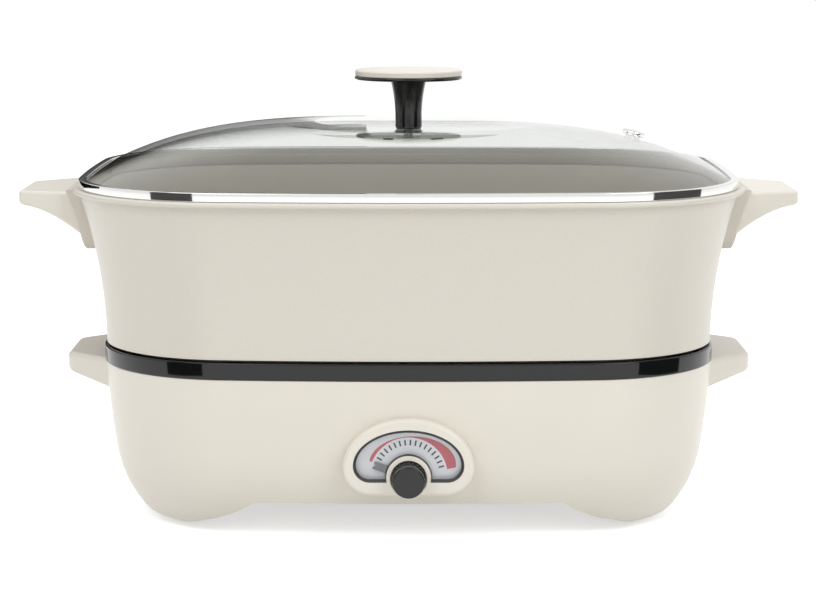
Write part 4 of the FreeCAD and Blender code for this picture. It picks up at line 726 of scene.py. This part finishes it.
def knobProfile():
    # (radius, height) from the middle of the face back to the shaft
    length, face, soft = knob["length"], knob["face"], knob["faceRound"]
    skirt, end, back = knob["skirt"], knob["skirtEnd"], knob["skirtBack"]
    front = [(face - soft + soft * sin(turn), length - soft + soft * cos(turn))
             for turn in quarterTurns()]
    root = [(face + out, end + up) for out, up in knob["root"]]
    side = [(skirt, end - knob["skirtFront"]), (skirt, back), (skirt - back, 0.0)]
    return [(0.0, length)] + front + root + side + [(0.0, 0.0)]


def placeKnob():
    turned = grow("ribbedKnob", lineMesh("knobLine", knobProfile()), turnedTree(), {
        "Steps": knob["steps"], "Ribs": float(knob["ribs"]), "RibDepth": knob["ribDepth"] * mm,
        "RibLow": knob["ribStart"] * mm, "RibHigh": knob["skirtEnd"] * mm,
        "Place": (0.0, knob["back"] * mm, knob["axisHeight"] * mm),
        "Tilt": (pi / 2, 0.0, 0.0), "Finish": finish["knob"]})
    settle(turned, "knob", "knob_black", "control_knob")


spring = {
    "turns": 4.0,
    "radius": 6.2,             # mm, to the middle of the wire
    "wire": 0.5,
    "press": 2.5,              # how far a pot pushes the sensor down
}


def placeSpring():
    # the coil between flange and sensor cap
    low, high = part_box("sensor_spring")
    wire, height = spring["wire"] * mm, high.z - low.z
    coil = grow("sensorCoil", bpy.data.meshes.new("sensorCoil"), coilTree(), {
        "Turns": spring["turns"], "Radius": spring["radius"] * mm, "Height": height - 2 * wire,
        "Wire": wire, "Place": (0.0, 0.0, low.z + wire), "Finish": finish["zincSteel"]})
    settle(coil, "base", "steel", "sensor_spring")
    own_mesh(coil)


dial = {
    "face": -125.0,            # mm, the printed side along y
    "ticks": 18,
    "tickRadius": 17.4,
    "firstTick": 167.0,        # degrees from +x, seen from the front
    "lastTick": 16.0,
    "tick": (0.8, 2.9, 0.06),
    "bandOuter": (2.0, 42.1, 22.2, 14.5),      # ellipse: middle x and z, half width, half height
    "outerTurns": (174.0, -7.0),               # degrees, at its thin end and its wide end
    "bandInner": (0.0, 36.0, 20.0),            # arc: middle x and z, radius
    "innerTurns": (158.5, 10.0),
    "bandSteps": 64,
    "bandInk": 0.04,
}


def placeTicks():
    ticks = grow("dialTicks", bpy.data.meshes.new("dialTicks"), tickTree(), {
        "Count": dial["ticks"], "Radius": dial["tickRadius"] * mm, "Start": radians(dial["lastTick"]),
        "Sweep": radians(dial["firstTick"] - dial["lastTick"]),
        "Stroke": tuple(v * mm for v in dial["tick"]),
        "Place": (0.0, (dial["face"] - dial["tick"][2] / 2) * mm, knob["axisHeight"] * mm),
        "Tilt": (pi / 2, 0.0, 0.0), "Finish": finish["blackInk"]})
    settle(ticks, "base")


def placeHeatBand():
    # a printed wedge that widens towards high heat
    x, z, wide, high = dial["bandOuter"]
    innerX, innerZ, radius = dial["bandInner"]
    mesh = bmesh.new()
    rows = []
    for step in range(dial["bandSteps"] + 1):
        way = step / dial["bandSteps"]
        outer, inner = (radians(start + (end - start) * way)
                        for start, end in (dial["outerTurns"], dial["innerTurns"]))
        places = [(x + wide * cos(outer), z + high * sin(outer)),
                  (innerX + radius * cos(inner), innerZ + radius * sin(inner))]
        rows.append([mesh.verts.new((px * mm, y * mm, pz * mm))
                     for y in (dial["face"], dial["face"] - dial["bandInk"]) for px, pz in places])
    for one, two in zip(rows, rows[1:]):
        for a, b in ((0, 1), (1, 3), (3, 2), (2, 0)):
            mesh.faces.new((one[a], one[b], two[b], two[a]))
    for end in (rows[0], rows[-1]):
        mesh.faces.new((end[0], end[1], end[3], end[2]))
    bmesh.ops.recalc_face_normals(mesh, faces=mesh.faces[:])
    data = bpy.data.meshes.new("heatBand")
    mesh.to_mesh(data)
    data.materials.append(finish["redInk"])
    band = bpy.data.objects.new("heatBand", data)
    bpy.context.collection.objects.link(band)
    settle(band, "base")


screws = {
    # node it stands for: body, way that its heads face
    "bottom_cover_screws": ("base", (0, 0, -1)),
    "inlet_screws": ("base", (0, 1, 0)),
    "pot_handle_screws": ("pot", (1, 0, 0)),
}
screwSize = {
    "head": 3.8,               # mm, radius
    "rise": 2.4,
    "flat": 0.9,               # of the head's side, below the crown
    "shank": 2.0,
    "length": 9.0,
    "point": 1.0,
    "slot": (4.6, 0.95, 3.0),
    "steps": 40,
}


def screwProfile():
    # (radius, height) from the crown down to the tip, with the seat at 0
    head, flat, rise = screwSize["head"], screwSize["flat"], screwSize["rise"]
    crown = [(head * sin(turn), flat + (rise - flat) * cos(turn)) for turn in quarterTurns()]
    shank, length = screwSize["shank"], screwSize["length"]
    return crown + [(head, 0.0), (shank, 0.0), (shank, screwSize["point"] - length), (0.0, -length)]


def screwSeats(node, aim):
    # middle of each screw of a node, at the underside of its head
    mesh = bmesh.new()
    mesh.from_mesh(nodes[node].data)
    bmesh.ops.remove_doubles(mesh, verts=mesh.verts[:], dist=1e-6)
    seats = []
    left = set(mesh.verts)
    while left:
        piece, edge = set(), [left.pop()]
        while edge:
            here = edge.pop()
            piece.add(here)
            near = {other for join in here.link_edges for other in join.verts} & left
            left -= near
            edge += near
        places = [vert.co for vert in piece]
        middle = Vector([(min(p[i] for p in places) + max(p[i] for p in places)) / 2 for i in range(3)])
        way = Vector(aim)
        if way.x:
            way = way * (1 if middle.x > 0 else -1)
        top = max(place.dot(way) for place in places)
        seats.append((middle + way * (top - screwSize["rise"] * mm - middle.dot(way)), way))
    mesh.free()
    return seats


def placeScrews():
    blank = grow("screwBlank", lineMesh("screwLine", screwProfile()), turnedTree(),
                 {"Steps": screwSize["steps"], "Finish": finish["zincSteel"]})
    tree = screwTree()
    wide, narrow, deep = (v * mm for v in screwSize["slot"])
    for node, (body, aim) in screws.items():
        seats = screwSeats(node, aim)
        points = bpy.data.meshes.new(node + "Points")
        points.from_pydata([tuple(place) for place, way in seats], [], [])
        aims = points.attributes.new("aim", "FLOAT_VECTOR", "POINT")
        aims.data.foreach_set("vector", [v for place, way in seats for v in way])
        driven = grow(node.split("_screws")[0] + "CrossScrews", points, tree, {
            "Blank": blank, "Slot": (wide, narrow, deep), "CrossSlot": (narrow, wide, deep),
            "SlotPlace": (0.0, 0.0, screwSize["rise"] * mm), "Finish": finish["zincSteel"]})
        settle(driven, body, "steel", node)
    bpy.data.objects.remove(blank)


placeBands()
placeGlass()
placeKnob()
placeSpring()
placeTicks()
placeHeatBand()
placeScrews()
print("pieces placed")


# studio

studio = {
    "floorSize": 6.0,          # m
    "paper": ("#EFEFEE", 0.9), # colour, roughness
    "feltRoughness": 0.95,
    "worldLight": 0.57,
    "floorGlow": 0.6,          # so that the paper behind the object reads white
    "aim": (0, 0, 0.1),        # of all the lamps
    "lamps": (
        # name, power in W, size (x, y), place, whether gloss shows it
        ("keyLamp", 9.5, (1.2, 0.8), (-0.9, -1.3, 1.5), True),
        ("fillLamp", 8.5, (1.2, 0.8), (1.1, -1.2, 1.2), True),
        ("topLamp", 8.0, (1.2, 1.0), (0.0, 0.3, 1.7), False),
    ),
    "flags": (
        # felt cards seen only in gloss: name, colour, both ends on the floor in m, height,
        # and the height from which they thin out
        ("flagLeft", "#565656", (-0.422, -0.279), (-0.274, -0.419), 0.4, 0.4),
        ("flagRight", "#565656", (0.478, -0.087), (0.381, -0.334), 0.4, 0.4),
        ("flagBehind", "#0A0A0A", (-2.4, 0.9), (-0.05, 1.5), 0.9, 0.2),
    ),
}


def seenDirectly(tree):
    # 1 for what the camera sees, also in gloss and through glass; 0 for light that falls on the object
    path = addNode(tree, "ShaderNodeLightPath")
    gloss = addNode(tree, "ShaderNodeMath", {"operation": "MAXIMUM"},
                    {0: path.outputs["Is Camera Ray"], 1: path.outputs["Is Glossy Ray"]})
    through = addNode(tree, "ShaderNodeMath", {"operation": "MAXIMUM"},
                      {0: gloss, 1: path.outputs["Is Transmission Ray"]})
    scattered = addNode(tree, "ShaderNodeMath", {"operation": "LESS_THAN"},
                        {0: path.outputs["Diffuse Depth"], 1: 0.5})
    return addNode(tree, "ShaderNodeMath", {"operation": "MULTIPLY"}, {0: through, 1: scattered})


def whiteWorld():
    # lights the object at one level and looks white behind it, in gloss and through glass
    world = bpy.data.worlds.new("studioWorld")
    bpy.context.scene.world = world
    world.use_nodes = True
    tree = world.node_tree
    level = addNode(tree, "ShaderNodeMapRange",
                    links={0: seenDirectly(tree), 3: studio["worldLight"], 4: 1.0})
    background = tree.nodes["Background"]
    background.inputs["Color"].default_value = (1, 1, 1, 1)
    tree.links.new(level.outputs[0], background.inputs["Strength"])


def card(name, corners, material):
    mesh = bpy.data.meshes.new(name)
    mesh.from_pydata(corners, [], [(0, 1, 2, 3)])
    mesh.materials.append(material)
    sheet = bpy.data.objects.new(name, mesh)
    bpy.context.collection.objects.link(sheet)
    return sheet


def studioFloor():
    # matt white paper; it glows only where it is seen, and keeps the shadow
    colour, roughness = studio["paper"]
    material, tree, shader = newMaterial("floorPaper", colour, Roughness=roughness,
                                         Specular_IOR_Level=0.0)
    glow = addNode(tree, "ShaderNodeMath", {"operation": "MULTIPLY"},
                   {0: seenDirectly(tree), 1: studio["floorGlow"]})
    shader.inputs["Emission Color"].default_value = (1, 1, 1, 1)
    tree.links.new(glow.outputs[0], shader.inputs["Emission Strength"])
    half = studio["floorSize"] / 2
    card("floor", [(-half, -half, 0), (half, -half, 0), (half, half, 0), (-half, half, 0)], material)


def feltFlag(name, colour, height, fade):
    # matt felt, thinning out towards its top
    material, tree, shader = newMaterial(name, colour, Roughness=studio["feltRoughness"],
                                         Specular_IOR_Level=0.0)
    place = addNode(tree, "ShaderNodeTexCoord").outputs["Object"]
    part = addNode(tree, "ShaderNodeSeparateXYZ", links={0: place})
    thin = addNode(tree, "ShaderNodeMapRange", {"interpolation_type": "SMOOTHSTEP"},
                   {0: part.outputs[2], 1: fade, 2: height + mm, 3: 0.0, 4: 1.0})
    clear = addNode(tree, "ShaderNodeBsdfTransparent")
    mix = addNode(tree, "ShaderNodeMixShader", links={0: thin, 1: shader, 2: clear})
    tree.links.new(mix.outputs[0], tree.nodes["Material Output"].inputs["Surface"])
    return material


def studioFlags():
    # so that polished metal and gloss have something dark to show
    for name, colour, one, two, height, fade in studio["flags"]:
        felt = feltFlag(name, colour, height, fade)
        flag = card(name, [(*one, 0), (*two, 0), (*two, height), (*one, height)], felt)
        flag.visible_camera = False
        flag.visible_diffuse = False
        flag.visible_transmission = False
        flag.visible_shadow = False


def studioLamps():
    for name, power, size, place, mirrored in studio["lamps"]:
        lamp = bpy.data.lights.new(name, "AREA")
        lamp.shape = "RECTANGLE"
        lamp.size, lamp.size_y = size
        lamp.energy = power
        holder = bpy.data.objects.new(name, lamp)
        holder.location = place
        holder.rotation_euler = (Vector(place) - Vector(studio["aim"])).to_track_quat("Z", "Y").to_euler()
        holder.visible_glossy = mirrored
        bpy.context.collection.objects.link(holder)


view = {
    "place": (0.0, -1.31, 0.30696),            # m
    "frame": (816, 600),       # pixels
    "focal": 2370.0,           # in pixels of that frame
    "horizon": -60.0,          # row of eye level
    "middle": 408.6,           # column of the object's middle
    "sensor": 36.0,            # mm
}


def studioCamera():
    width, height = view["frame"]
    camera = bpy.data.cameras.new("camera")
    camera.sensor_width = view["sensor"]
    camera.lens = camera.sensor_width * view["focal"] / width
    camera.shift_x = (width / 2 - view["middle"]) / width
    holder = bpy.data.objects.new("camera", camera)
    pitch = atan((height / 2 - view["horizon"]) / view["focal"])
    holder.location = view["place"]
    holder.rotation_euler = (pi / 2 - pitch, 0.0, 0.0)
    bpy.context.collection.objects.link(holder)
    bpy.context.scene.camera = holder


whiteWorld()
studioFloor()
studioFlags()
studioLamps()
studioCamera()
bpy.context.scene.view_settings.view_transform = "Standard"
print("studio set")
